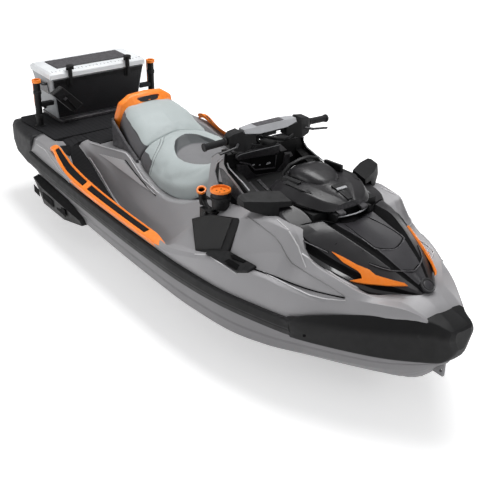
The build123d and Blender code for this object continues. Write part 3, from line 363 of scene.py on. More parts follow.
ORANGE = lin((246, 126, 18))
GREY = lin((144, 143, 145))
MATS = {
    "gelcoat": gelcoat("gelcoat_grey_metallic", GREY, 0.12, 0.52),
    # darker copy of the grey gelcoat: painted shade for a groove line, the shaded console panels and the bow eye
    "gelcoat_painted_shade": gelcoat("gelcoat_grey_painted_shade", shade(GREY, 0.62), 0.2, 0.42),
    # the deck's grey gelcoat made darker for the hull: painted shade on its sides and bottom
    "hull_painted_shade": gelcoat("gelcoat_grey_hull_painted_shade", lin((112, 111, 113)), 0.12, 0.5),
    # lighter copy of the grey gelcoat: painted highlight along edges and creases of the deck and on a lit facet
    "crease_painted_highlight": gelcoat("gelcoat_grey_painted_highlight", lin((192, 191, 193)), 0.1, 0.36),
    "rubber": plastic("black_rubber", lin((18, 18, 19)), 0.56, 700, 0.10, 0.22, 0.25, lin((70, 70, 72))),
    "platform": plastic("black_platform_rubber", lin((25, 25, 27)), 0.60, 600, 0.14, 0.28, 0.35, lin((90, 90, 92))),
    "black": plastic("black_plastic", lin((14, 14, 15)), 0.46, 1000, 0.12, 0.24, 0.2, lin((66, 66, 68))),
    "dark": plastic("shadow_gap_black", lin((12, 12, 13)), 0.8, 900, 0.05, 0.1, 0.0),
    "console_black": plastic("console_black_plastic", lin((13, 13, 14)), 0.55, 900, 0.10, 0.22, 0.15, lin((52, 52, 54))),
    "charcoal": plastic("charcoal_plastic", lin((30, 29, 31)), 0.32, 800, 0.08, 0.42, 0.3, lin((120, 118, 122))),
    "charcoal_light": plastic("charcoal_panel", lin((46, 45, 48)), 0.36, 800, 0.12, 0.34, 0.3, lin((140, 138, 142))),
    "gloss": plastic("gloss_black", lin((20, 20, 22)), 0.16, 1200, 0.02, 0.5, 0.1, lin((60, 60, 62)), 0.6, 0.02),
    "orange": plastic("orange_plastic", ORANGE, 0.42, 1100, 0.06, 0.4, 0.25, lin((255, 190, 120)), 0.1, 0.02),
    "seat_light": vinyl("seat_vinyl_light", lin((205, 213, 214))),
    "seat_mid": vinyl("seat_vinyl_inset", lin((140, 142, 144)), 0.6, 300),
    "seat_dark": vinyl("seat_vinyl_side", lin((112, 111, 114)), 0.55, 360),
    "foam": mat_foam("foam_mat", lin((20, 20, 22)), "X", 14),
    "foam_fine": mat_foam("foam_mat_rear", lin((32, 32, 34)), "Y", 10),
    "steel": metal("steel", (0.62, 0.62, 0.63), 0.25),
    "cast": metal("cast_alloy", (0.45, 0.45, 0.46), 0.42, False),
    "bar": plastic("bar_alloy_black", lin((36, 36, 38)), 0.35, 900, 0.05, 0.45, 0.3, lin((110, 110, 112))),
    "shell": plastic("cooler_shell", lin((150, 153, 156)), 0.45, 700, 0.10, 0.35, 0.15, lin((215, 217, 219))),
    "white": plastic("cooler_lid_white", lin((224, 227, 229)), 0.40, 800, 0.08, 0.35, 0.15, lin((245, 246, 247))),
    "perf": perforated("cooler_front_perforated", lin((30, 30, 32))),
    "fabric": woven("black_fabric", lin((17, 17, 18))),
    "pad": plastic("pad_grey", lin((150, 151, 154)), 0.46, 600, 0.15, 0.35, 0.2, lin((205, 206, 208))),
    "grip": ribbed("grip_rubber", lin((34, 34, 36))),
    "screen": plastic("screen_glass", lin((14, 14, 16)), 0.10, 1500, 0.01, 0.55, 0.0, None, 0.8, 0.02),
}
SLOT_MAT = {"gelcoat_grey": "gelcoat", "black_rubber": "rubber", "black_plastic": "black", "steel": "steel", "foam_mat": "foam",
            "orange_plastic": "orange", "seat_vinyl": "seat_light", "charcoal_plastic": "charcoal", "black_gloss": "gloss",
            "cooler_shell": "shell", "cooler_lid_white": "white", "black_fabric": "fabric", "cast_alloy": "cast",
            "bar_alloy": "bar", "pad_grey": "pad", "grip_rubber": "grip"}
MAT_SLOT = {v: k for k, v in SLOT_MAT.items()}
for a, b in (("gelcoat_painted_shade", "gelcoat_grey"), ("hull_painted_shade", "gelcoat_grey"), ("crease_painted_highlight", "gelcoat_grey"), ("platform", "black_rubber"), ("dark", "black_plastic"), ("console_black", "black_plastic"), ("charcoal_light", "charcoal_plastic"),
             ("seat_mid", "seat_vinyl"), ("seat_dark", "seat_vinyl"), ("foam_fine", "foam_mat"), ("perf", "black_plastic"), ("screen", "black_gloss")):
    MAT_SLOT[a] = b

node_slot = {}
for m in frame["record"].get("materials", []):
    for n in m.get("nodes", []) or m.get("applies_to", []) or []:
        node_slot[n] = m.get("slot")


# =============================================================================
# meshes
# =============================================================================
def mesh_obj(name, verts, faces, mats, fmat=None, body="craft", replaces=(), angle=32, weighted=True, merge=1e-5, bevel=0.0, segs=2,
             lowered=False, bevel_angle=30):
    me = bpy.data.meshes.new(name)
    dz = 0 if lowered else WL
    me.from_pydata([(v[0], v[1], v[2] - dz) for v in verts], [], faces)
    mats = [mats] if isinstance(mats, str) else list(mats)
    for m in mats:
        me.materials.append(MATS[m])
    if fmat:
        for p, k in zip(me.polygons, fmat):
            p.material_index = k
    ob = bpy.data.objects.new(name, me)
    scene.collection.objects.link(ob)
    bm = bmesh.new(); bm.from_mesh(me)
    if merge:
        bmesh.ops.remove_doubles(bm, verts=bm.verts, dist=merge)
    bad = [f for f in bm.faces if f.calc_area() < 1e-12]
    if bad:
        bmesh.ops.delete(bm, geom=bad, context="FACES")
    bmesh.ops.recalc_face_normals(bm, faces=bm.faces)
    bm.to_mesh(me); bm.free()
    polish(ob, angle, weighted, bevel, segs, bevel_angle)
    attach(ob, body)
    if replaces:
        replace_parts(ob, *([replaces] if isinstance(replaces, str) else replaces))
    return ob


def polish(ob, angle=32, weighted=True, bevel=0.0, segs=2, bevel_angle=30):
    if bevel:
        b = ob.modifiers.new("bevel", "BEVEL")
        b.width, b.segments, b.limit_method, b.angle_limit = bevel, segs, "ANGLE", math.radians(bevel_angle)
        b.harden_normals = False
        apply_mods(ob)
    me = ob.data
    me.polygons.foreach_set("use_smooth", [True] * len(me.polygons))
    me.set_sharp_from_angle(angle=math.radians(angle))
    if weighted:
        w = ob.modifiers.new("wn", "WEIGHTED_NORMAL")
        w.keep_sharp = True
        w.weight = 60
        apply_mods(ob)
    me = ob.data
    me.update()


def apply_mods(ob):
    bpy.context.view_layer.update()
    dg = bpy.context.evaluated_depsgraph_get()
    new = bpy.data.meshes.new_from_object(ob.evaluated_get(dg), preserve_all_data_layers=True, depsgraph=dg)
    old = ob.data
    ob.modifiers.clear()
    ob.data = new
    if old.users == 0:
        bpy.data.meshes.remove(old)


def loft_faces(nrows, ncols, closed, off=0):
    fs = []
    cols = ncols if closed else ncols - 1
    for i in range(nrows - 1):
        for j in range(cols):
            k = (j + 1) % ncols
            fs.append((off + i * ncols + j, off + i * ncols + k, off + (i + 1) * ncols + k, off + (i + 1) * ncols + j))
    return fs


def loft(name, rows, mats, closed=True, caps=(True, True), seg_mat=None, mirror=False, **kw):
    """Skin through rows of points. seg_mat gives a material index for each column."""
    verts, faces, fm = [], [], []
    n = len(rows[0])
    copies = [1, -1] if mirror else [1]
    for s in copies:
        off = len(verts)
        for r in rows:
            verts += [(p[0], s * p[1], p[2]) for p in r]
        f = loft_faces(len(rows), n, closed, off)
        cols = n if closed else n - 1
        m = [(seg_mat[i % cols] if seg_mat else 0) for i in range(len(f))]
        if s < 0:
            f = [tuple(reversed(q)) for q in f]
        faces += f; fm += m
        if closed and caps[0]:
            faces.append(tuple(off + j for j in range(n))); fm.append(0)
        if closed and caps[1]:
            faces.append(tuple(off + (len(rows) - 1) * n + j for j in reversed(range(n)))); fm.append(0)
    return mesh_obj(name, verts, faces, mats, fm, **kw)


def tube_rows(path, r, n=12, squash=1.0):
    """Rings round a path; r is a number or one for each point."""
    P = [Vector(p) for p in path]
    rows, prev = [], None
    for i, p in enumerate(P):
        t = (P[min(i + 1, len(P) - 1)] - P[max(i - 1, 0)]).normalized()
        if prev is None:
            prev = t.cross(Vector((0, 0, 1))) if abs(t.z) < 0.9 else t.cross(Vector((0, 1, 0)))
        u = (prev - t * prev.dot(t)).normalized()
        prev = u
        v = t.cross(u)
        rr = r[i] if hasattr(r, "__len__") else r
        rows.append([tuple(p + u * (rr * math.cos(a)) + v * (rr * squash * math.sin(a))) for a in [2 * math.pi * k / n for k in range(n)]])
    return rows


def tube(name, path, r, mats, n=12, mirror=False, squash=1.0, **kw):
    return loft(name, tube_rows(path, r, n, squash), mats, mirror=mirror, **kw)


def join(name, parts, body="craft", replaces=()):
    """Several finished objects in one."""
    bpy.ops.object.select_all(action="DESELECT")
    for p in parts:
        p.select_set(True)
    bpy.context.view_layer.objects.active = parts[0]
    bpy.ops.object.join()
    ob = parts[0]
    ob.name = name
    if replaces:
        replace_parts(ob, *([replaces] if isinstance(replaces, str) else replaces))
    return ob


def from_cad(node, mats=None, bevel=0.003, segs=2, name=None, hide=True, angle=32, subdiv=0, bevel_angle=28):
    """A finished piece made on a CAD node's shape: its facets are merged and its edges rounded."""
    src = NODES[node]
    me = src.data.copy()
    me.materials.clear()
    ob = bpy.data.objects.new(name or (node + "_finished"), me)
    scene.collection.objects.link(ob)
    bm = bmesh.new(); bm.from_mesh(me)
    bmesh.ops.remove_doubles(bm, verts=bm.verts, dist=2e-5)
    bmesh.ops.dissolve_limit(bm, angle_limit=math.radians(1.0), verts=bm.verts, edges=bm.edges)
    bmesh.ops.recalc_face_normals(bm, faces=bm.faces)
    bm.to_mesh(me); bm.free()
    slot = node_slot.get(node)
    key = mats or SLOT_MAT.get(slot, "black")
    me.materials.append(MATS[key])
    polish(ob, angle, True, bevel, segs, bevel_angle)
    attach(ob, NODE_BODY[node])
    if hide:
        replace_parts(ob, node)
    return ob


def boolean(ob, cutter_faces):
    """Cuts closed meshes, given as (verts, faces) in keel heights, out of ob."""
    for verts, faces in cutter_faces:
        me = bpy.data.meshes.new("cutter")
        me.from_pydata([(v[0], v[1], v[2] - WL) for v in verts], [], faces)
        c = bpy.data.objects.new("cutter", me)
        scene.collection.objects.link(c)
        bm = bmesh.new(); bm.from_mesh(me); bmesh.ops.recalc_face_normals(bm, faces=bm.faces); bm.to_mesh(me); bm.free()
        for m in ob.data.materials:
            me.materials.append(m)
        b = ob.modifiers.new("cut", "BOOLEAN")
        b.operation, b.object, b.solver = "DIFFERENCE", c, "EXACT"
        apply_mods(ob)
        bpy.data.objects.remove(c)
    return ob


def box_mesh(lo, hi):
    v = [(x, y, z) for x in (lo[0], hi[0]) for y in (lo[1], hi[1]) for z in (lo[2], hi[2])]
    return v, [(0, 1, 3, 2), (4, 6, 7, 5), (0, 4, 5, 1), (2, 3, 7, 6), (0, 2, 6, 4), (1, 5, 7, 3)]


def ring_mesh(rings):
    n = len(rings[0])
    v = [p for r in rings for p in r]
    f = loft_faces(len(rings), n, True)
    f.append(tuple(range(n))); f.append(tuple(reversed(range((len(rings) - 1) * n, len(rings) * n))))
    return v, f


def prism_mesh(poly, off):
    return ring_mesh([list(poly), [tuple(p[i] + off[i] for i in range(3)) for p in poly]])


def slab(name, poly, off, mats, bevel=0.002, segs=2, mirror=False, **kw):
    v, f = prism_mesh(poly, off)
    if mirror:
        n = len(v)
        v = v + [(p[0], -p[1], p[2]) for p in v]
        f = f + [tuple(reversed([i + n for i in q])) for q in f]
    return mesh_obj(name, v, f, mats, bevel=bevel, segs=segs, **kw)


def lathe_rows(profile, at, axis, n=40):
    """Rings for a turned shape: profile is (distance along axis, radius)."""
    a = Vector(axis).normalized()
    u = a.cross(Vector((0, 0, 1))) if abs(a.z) < 0.9 else a.cross(Vector((1, 0, 0)))
    u.normalize()
    v = a.cross(u)
    c = Vector(at)
    return [[tuple(c + a * t + (u * math.cos(w) + v * math.sin(w)) * r) for w in [2 * math.pi * k / n for k in range(n)]] for t, r in profile]


def lathe(name, profile, at, axis, mats, n=40, mirror=False, caps=(True, True), **kw):
    return loft(name, lathe_rows(profile, at, axis, n), mats, mirror=mirror, caps=caps, **kw)


# =============================================================================
# camera, floor, light
# =============================================================================
def make_camera():
    yaw, pitch, roll = math.radians(36.13767), math.radians(27.33488), math.radians(0.67661)
    f = Vector((-math.cos(yaw) * math.cos(pitch), math.sin(yaw) * math.cos(pitch), -math.sin(pitch)))
    r = f.cross(Vector((0, 0, 1))).normalized()
    u = r.cross(f)
    r2 = r * math.cos(roll) + u * math.sin(roll)
    u2 = -r * math.sin(roll) + u * math.cos(roll)
    cam = bpy.data.cameras.new("camera")
    cam.sensor_width = 36.0
    cam.lens = 928.7794 * 36.0 / 500.0
    cam.clip_end = 200
    ob = bpy.data.objects.new("camera", cam)
    scene.collection.objects.link(ob)
    M = Matrix.Identity(4)
    for i in range(3):
        M[i][0], M[i][1], M[i][2] = r2[i], u2[i], -f[i]
    M[0][3], M[1][3], M[2][3] = 4.09276419, -2.78051186, 2.70724277 - WL
    ob.matrix_world = M
    scene.camera = ob


def make_stage():
    me = bpy.data.meshes.new("studio_floor")
    s = 60
    me.from_pydata([(-s, -s, -WL - 0.002), (s, -s, -WL - 0.002), (s, s, -WL - 0.002), (-s, s, -WL - 0.002)], [], [(0, 1, 2, 3)])
    ob = bpy.data.objects.new("studio_floor", me)
    scene.collection.objects.link(ob)
    M = Mat("studio_floor_white")
    c = M.ramp(M.noise(0.4, 2), [(0.2, (0.93, 0.93, 0.93)), (0.8, (0.95, 0.95, 0.95))])
    floor = M.out(c, 0.9, spec=0.0, emit=0.42)
    far = M.new("ShaderNodeVectorMath", operation="LENGTH")
    M.l.new(M.tc.outputs["Object"], far.inputs[0])
    glow = M.mapr(far.outputs["Value"], 2.6, 7.0, 0.42, 0.70)
    for node in floor.node_tree.nodes:
        if node.type == "BSDF_PRINCIPLED":
            M.l.new(glow, node.inputs["Emission Strength"])
            # seen from below, the floor is clear
            side = M.new("ShaderNodeNewGeometry")
            M.l.new(M.mapr(side.outputs["Backfacing"], 0.0, 1.0, 1.0, 0.0), node.inputs["Alpha"])
    me.materials.append(floor)
    w = bpy.data.worlds.new("studio")
    scene.world = w
    w.use_nodes = True
    nt = w.node_tree
    tc = nt.nodes.new("ShaderNodeTexCoord")
    sp = nt.nodes.new("ShaderNodeSeparateXYZ")
    rp = nt.nodes.new("ShaderNodeValToRGB")
    els = rp.color_ramp.elements
    while len(els) < 4:
        els.new(0.5)
    for e, (p, v) in zip(els, [(0.0, 0.55), (0.25, 0.65), (0.6, 0.98), (1.0, 1.25)]):
        e.position, e.color = p, (v, v, v * 1.01, 1)
    nt.links.new(tc.outputs["Generated"], sp.inputs[0])
    nt.links.new(sp.outputs["Z"], rp.inputs["Fac"])
    bg = nt.nodes["Background"]
    nt.links.new(rp.outputs["Color"], bg.inputs["Color"])
    bg.inputs["Strength"].default_value = 0.40

    def area(name, at, to, size, power, color=(1, 1, 1)):
        l = bpy.data.lights.new(name, "AREA")
        l.shape, l.size, l.size_y, l.energy, l.color = "RECTANGLE", size[0], size[1], power, color
        o = bpy.data.objects.new(name, l)
        scene.collection.objects.link(o)
        o.location = at
        o.rotation_euler = (Vector(to) - Vector(at)).to_track_quat("-Z", "Y").to_euler()
    area("key_softbox", (-0.1, 0.8, 4.7), (-0.1, 0, 0), (4.2, 2.4), 210)
    area("front_softbox", (6.0, 1.0, 3.2), (0.6, 0, 0.2), (2.6, 2.2), 34)
    area("side_softbox", (-1.6, -5.5, 2.6), (-0.3, 0, 0.3), (5.0, 1.6), 60)
    scene.view_settings.view_transform = "Standard"
    scene.view_settings.look = "None"
    scene.view_settings.exposure = 0.0
    scene.view_settings.gamma = 1.0


make_camera()
make_stage()

# =============================================================================
# hull, deck, rails, bumper
# =============================================================================
RAIL_Y = [(-1.39, 0.577, 0.588), (-1.20, 0.590, 0.601), (-0.75, 0.607, 0.620), (-0.37, 0.615, 0.629),
          (0.01, 0.621, 0.635), (0.41, 0.616, 0.633), (0.60, 0.603, 0.622), (0.82, 0.573, 0.600),
          (1.07, 0.511, 0.540), (1.25, 0.452, 0.483), (1.40, 0.372, 0.405), (1.565, 0.267, 0.300),
          (1.68, 0.172, 0.205), (1.76, 0.092, 0.130), (1.80, 0.045, 0.100)]
BOTTOM = [(-1.39, 0.000, 0.500, 0.185), (-1.00, 0.000, 0.525, 0.187), (-0.60, 0.000, 0.545, 0.190),
          (0.00, 0.000, 0.562, 0.195), (0.40, 0.000, 0.567, 0.200), (0.60, 0.002, 0.556, 0.202),
          (0.82, 0.008, 0.533, 0.205), (1.07, 0.024, 0.458, 0.215), (1.25, 0.050, 0.352, 0.222),
          (1.40, 0.085, 0.268, 0.230), (1.565, 0.130, 0.172, 0.245), (1.68, 0.205, 0.092, 0.275),
          (1.76, 0.300, 0.045, 0.318), (1.80, 0.338, 0.018, 0.345)]
RAIL_LOW, RAIL_TOP, BOND_Z = 0.355, 0.462, 0.410
rail_f, bottom_f = table(RAIL_Y), table(BOTTOM)


def sole(x):
    yl = rail_f(x)[0]
    z = table([(-1.39, 0.290), (1.25, 0.290), (1.40, 0.300), (1.565, 0.340), (1.68, 0.370), (1.80, 0.390)])(x)[0]
    return max(yl - 0.075, yl * 0.35), z


def build_hull():
    rows = []
    for x in spread(-1.39, 1.80, 0.045):
        zk, yc, zc = bottom_f(x)
        yl, yu = rail_f(x)
        yi, zi = sole(x)
        side = (yl - 0.014 - yc, RAIL_LOW - zc)
        poly = [(0.0, zk), (yc * 0.30, zk + (zc - zk) * 0.265), (yc * 0.335, zk + (zc - zk) * 0.245), (yc * 0.62, zk + (zc - zk) * 0.56),
                (yc * 0.655, zk + (zc - zk) * 0.54), (yc, zc), (yc + side[0] * 0.35 + 0.002, zc + side[1] * 0.40),
                (yc + side[0] * 0.38 - 0.003, zc + side[1] * 0.46), (yl - 0.014, RAIL_LOW), (yl - 0.020, BOND_Z - 0.006), (yi, BOND_Z - 0.006), (yi, zi), (0.0, zi)]
        rad = [0, .006, .006, .006, .006, .010, .004, .004, 0, 0, 0, 0, 0]
        pts, src = fillet(poly, rad, 2)
        ring = [(x, y, z) for y, z in pts] + [(x, -y, z) for y, z in reversed(pts[1:-1])]
        rows.append(ring)
    # the hull shell takes the darkened gelcoat copy: painted shade
    ob = loft("hull_shell", rows, ["hull_painted_shade"], replaces="hull", angle=60)
    duct = ring_mesh([[(-0.62, -0.085, -0.05), (-0.62, 0.085, -0.05), (-0.62, 0.085, 0.020), (-0.62, -0.085, 0.020)],
                      [(-1.10, -0.100, -0.05), (-1.10, 0.100, -0.05), (-1.10, 0.100, 0.232), (-1.10, -0.100, 0.232)]])
    boolean(ob, [duct, box_mesh((-1.45, -0.130, -0.05), (-1.08, 0.130, 0.265))])
    polish(ob, 60)
    return ob


# half sections of the deck: x, then (y, z) of: side edge, ledge edge, panel line, shoulder or inner floor, inner line, base edge, middle height
DECK = [
    (-1.39, .545, .545, .500, .562, .42, .562, .31, .562, .30, .562, .29, .562, .562),
    (-1.20, .556, .553, .480, .562, .42, .545, .335, .548, .325, .556, .29, .556, .562),
    (-1.10, .566, .553, .490, .560, .435, .490, .345, .520, .325, .545, .292, .560, .570),
    (-1.00, .580, .548, .510, .553, .455, .425, .338, .470, .328, .522, .290, .575, .590),
    (-0.80, .606, .503, .545, .503, .495, .385, .360, .405, .338, .505, .288, .605, .605),
    (-0.60, .616, .490, .556, .486, .522, .350, .388, .360, .348, .455, .292, .640, .610),
    (-0.35, .622, .489, .560, .484, .530, .338, .425, .340, .385, .425, .312, .582, .560),
    (-0.10, .625, .489, .564, .484, .536, .340, .460, .350, .415, .425, .335, .540, .540),
    (0.10, .624, .490, .568, .486, .542, .356, .490, .385, .430, .475, .345, .585, .560),
    (0.26, .620, .488, .574, .494, .552, .425, .500, .470, .430, .545, .335, .655, .640),
    (0.40, .617, .494, .598, .512, .562, .520, .455, .600, .385, .655, .318, .700, .690),
    (0.60, .601, .541, .587, .560, .545, .556, .422, .690, .355, .722, .312, .742, .710),
    (0.82, .553, .590, .532, .604, .494, .612, .394, .786, .355, .810, .320, .812, .740),
    (0.93, .521, .596, .497, .606, .450, .655, .376, .812, .350, .818, .315, .816, .740),
    (1.07, .484, .594, .450, .601, .388, .700, .354, .812, .338, .806, .318, .800, .740),
    (1.13, .466, .586, .430, .599, .373, .650, .345, .760, .330, .730, .312, .720, .720),
    (1.25, .425, .572, .392, .594, .356, .665, .324, .694, .294, .678, .280, .668, .690),
    (1.40, .350, .553, .328, .602, .320, .628, .292, .665, .246, .648, .230, .640, .660),
    (1.48, .310, .552, .286, .608, .282, .612, .256, .640, .204, .612, .190, .606, .650),
    (1.565, .255, .563, .236, .612, .232, .614, .180, .618, .120, .626, .105, .626, .640),
    (1.63, .210, .572, .192, .614, .188, .616, .128, .613, .062, .632, .042, .636, .644),
    (1.70, .155, .578, .146, .604, .142, .606, .118, .598, .050, .618, .038, .622, .622),
    (1.755, .118, .572, .116, .580, .113, .582, .100, .578, .045, .592, .036, .596, .594),
    (1.79, .098, .540, .096, .546, .092, .548, .085, .548, .045, .552, .036, .554, .552),
]
deck_f = table(DECK)


def deck_section(x):
    v = deck_f(x)
    yl, yu = rail_f(x)
    yi, zi = sole(x)
    p = [(v[2 * i], v[2 * i + 1]) for i in range(6)]
    p[0] = (min(p[0][0], yu - 0.012), p[0][1])
    return [(0, zi), (yi, zi), (yi, BOND_Z), (yl - 0.022, BOND_Z), (yu - 0.018, RAIL_TOP)] + p + [(0, v[12])]


def build_deck():
    rows = []
    for x in spread(-1.39, 1.79, 0.035, (0.26, 0.82, 1.07, 1.13)):
        poly = deck_section(x)
        rad = [0, 0, 0, 0, 0, .006, .005, .008, .006, .010, .008, 0]
        pts, src = fillet(poly, rad, 3)
        rows.append([(x, y, z) for y, z in pts] + [(x, -y, z) for y, z in reversed(pts[1:-1])])
    ob = loft("deck_shell", rows, ["gelcoat", "dark"], replaces="deck", angle=60)
    boolean(ob, [box_mesh((0.700, -0.160, 0.470), (1.030, 0.160, 0.900))])
    polish(ob, 60)
    return ob


def build_rails():
    rows = []
    for x in spread(-1.39, 1.25, 0.05):
        yl, yu = rail_f(x)
        d = yu - yl
        poly = [(yl - 0.040, RAIL_LOW), (yl, RAIL_LOW), (yl + d * 0.42 + 0.011, 0.396), (yl + d * 0.50 + 0.009, 0.404), (yl + d * 0.62 + 0.011, 0.412), (yu + 0.001, RAIL_TOP), (yu - 0.040, RAIL_TOP)]
        pts, _ = fillet(poly, [0, .010, .006, .003, .006, .012, 0], 3)
        rows.append([(x, y, z) for y, z in pts])
    return loft("side_rail_bumpers", rows, ["rubber"], mirror=True, replaces="side_rails", angle=40)


BUMP = [
    (1.252, 0.456, 0.486, 0.440, 0.478, 0.474, 0.348), (1.330, 0.415, 0.447, 0.455, 0.428, 0.505, 0.348),
    (1.480, 0.326, 0.360, 0.480, 0.320, 0.545, 0.348), (1.620, 0.232, 0.262, 0.500, 0.212, 0.572, 0.350),
    (1.730, 0.140, 0.172, 0.512, 0.128, 0.582, 0.356), (1.800, 0.070, 0.110, 0.518, 0.088, 0.572, 0.362)]


def build_bumper():
    bf = table(BUMP)
    rows = []
    for x in spread(1.240, 1.800, 0.035):
        yl, yf, zf, yt, zt, zl = bf(max(x, 1.252))
        if x < 1.26:
            yl, yf, yt = yl + 0.004, yf + 0.004, yt + 0.004
        inner = max(yt - 0.060, 0.02)
        poly = [(inner, zl), (yl, zl), (yf, zf), (yt, zt), (inner, zt - 0.012)]
        s = min(1.0, max(0.0, (x - 1.25) / 0.30))
        pts, _ = fillet(poly, [0, .014, .050 - 0.030 * s, .006, 0], 4)
        rows.append([(x, y, z) for y, z in pts])
    side = loft("bumper_sides", rows, ["rubber"], mirror=True, angle=16)
    # nose: sections across, from the deck's tip forward
    N = [  # x, low y, low z, fold y, fold z, top y, top z, ridge y, ridge z, middle z
        (1.742, .124, .356, .160, .512, .120, .5795, .038, .598, .596), (1.765, .106, .358, .142, .515, .108, .578, .037, .5925, .590), (1.800, .072, .362, .112, .518, .090, .572, .040, .583, .580),
        (1.835, .052, .385, .096, .520, .078, .565, .043, .572, .569), (1.858, .040, .420, .082, .521, .068, .558, .046, .562, .560), (1.868, .030, .442, .068, .522, .058, .553, .044, .556, .554), (1.871, .020, .455, .050, .520, .046, .548, .038, .550, .549)]
    nf = table(N)
    rows = []
    for x in spread(1.742, 1.871, 0.010):
        yl, zl, yf, zf, yt, zt, yr, zr, zm = nf(x)
        poly = [(0, zl - 0.004), (yl, zl), (yf, zf), (yt, zt), (yr, zr), (0, zm)]
        pts, _ = fillet(poly, [0, .014, .014, .007, .005, 0], 3)
        rows.append([(x, y, z) for y, z in pts] + [(x, -y, z) for y, z in reversed(pts[1:-1])])
    nose = loft("bumper_nose", rows, ["rubber"], angle=16)
    caps = [lathe("bumper_plug", [(0, .0001), (0, .0075), (0.0022, .0075), (0.0032, .0062), (0.0026, .0045), (0.0010, .0040), (0.0008, .0001)],
                  (1.315, 0.4365, 0.392), (0.52, 0.84, -0.10), ["dark"], 18, mirror=True, angle=16)]
    return join("bow_bumper_rubber", [side, nose] + caps, replaces="bow_bumper")


build_hull()
build_deck()
build_rails()
build_bumper()

# =============================================================================
# seats
# =============================================================================
SEAT_R = [
    (-0.915, 0.160, 0.600, 0.172, 0.690, 0.124, 0.785, 0.800), (-0.890, 0.172, 0.602, 0.184, 0.700, 0.142, 0.812, 0.832),
    (-0.800, 0.192, 0.610, 0.208, 0.705, 0.172, 0.840, 0.858), (-0.680, 0.222, 0.612, 0.240, 0.692, 0.196, 0.816, 0.840),
    (-0.580, 0.248, 0.600, 0.262, 0.672, 0.212, 0.756, 0.808), (-0.510, 0.256, 0.592, 0.270, 0.652, 0.218, 0.722, 0.784),
    (-0.488, 0.258, 0.590, 0.269, 0.642, 0.210, 0.708, 0.766)]
SEAT_F = [
    (-0.482, 0.258, 0.583, 0.268, 0.638, 0.206, 0.704, 0.762), (-0.460, 0.264, 0.576, 0.277, 0.645, 0.220, 0.722, 0.776),
    (-0.330, 0.284, 0.552, 0.293, 0.625, 0.222, 0.718, 0.748), (-0.200, 0.296, 0.540, 0.301, 0.612, 0.214, 0.708, 0.722),
    (-0.070, 0.290, 0.538, 0.292, 0.618, 0.198, 0.708, 0.712), (0.040, 0.268, 0.550, 0.270, 0.640, 0.182, 0.738, 0.732),
    (0.130, 0.232, 0.600, 0.236, 0.680, 0.160, 0.796, 0.786), (0.196, 0.196, 0.650, 0.196, 0.730, 0.140, 0.838, 0.838),
    (0.224, 0.168, 0.690, 0.168, 0.742, 0.122, 0.824, 0.828)]


def seat_mesh(name, rows_t, x0, x1, r_top):
    f = table(rows_t)
    rows = []
    for x in spread(x0, x1, 0.016):
        yb, zb, ys, zs, yt, zt, zc = f(x)
        poly = [(0.0, zb), (yb, zb), (ys, zs), (yt, zt), (yt * 0.5, zt * 0.35 + zc * 0.65), (0.0, zc)]
        pts, _ = fillet(poly, [0, .010, .030, r_top, .05, 0], 6)
        rows.append([(x, y, z) for y, z in pts] + [(x, -y, z) for y, z in reversed(pts[1:-1])])
    me = bpy.data.meshes.new(name)
    n = len(rows[0])
    verts = [(p[0], p[1], p[2] - WL) for r in rows for p in r]
    faces = loft_faces(len(rows), n, True) + [tuple(range(n)), tuple(reversed(range((len(rows) - 1) * n, len(rows) * n)))]
    me.from_pydata(verts, [], faces)
    ob = bpy.data.objects.new(name, me)
    scene.collection.objects.link(ob)
    bm = bmesh.new(); bm.from_mesh(me); bmesh.ops.recalc_face_normals(bm, faces=bm.faces); bm.to_mesh(me); bm.free()
    return ob


def push(me, by):
    """Moves every point along its own normal."""
    k = len(me.vertices)
    co, no = [0.0] * (3 * k), [0.0] * (3 * k)
    me.vertices.foreach_get("co", co)
    me.vertices.foreach_get("normal", no)
    for i, d in enumerate(by):
        if d:
            for j in (3 * i, 3 * i + 1, 3 * i + 2):
                co[j] += no[j] * d
    me.vertices.foreach_set("co", co)
    me.update()


def relaxed(me, values, rounds):
    """Values at the points, each evened out with its neighbours."""
    pairs = [tuple(e.vertices) for e in me.edges]
    count = [0] * len(values)
    for a, b in pairs:
        count[a] += 1; count[b] += 1
    for _ in range(rounds):
        total = [0.0] * len(values)
        for a, b in pairs:
            total[a] += values[b]; total[b] += values[a]
        values = [0.5 * v + 0.5 * t / c if c else v for v, t, c in zip(values, total, count)]
    return values


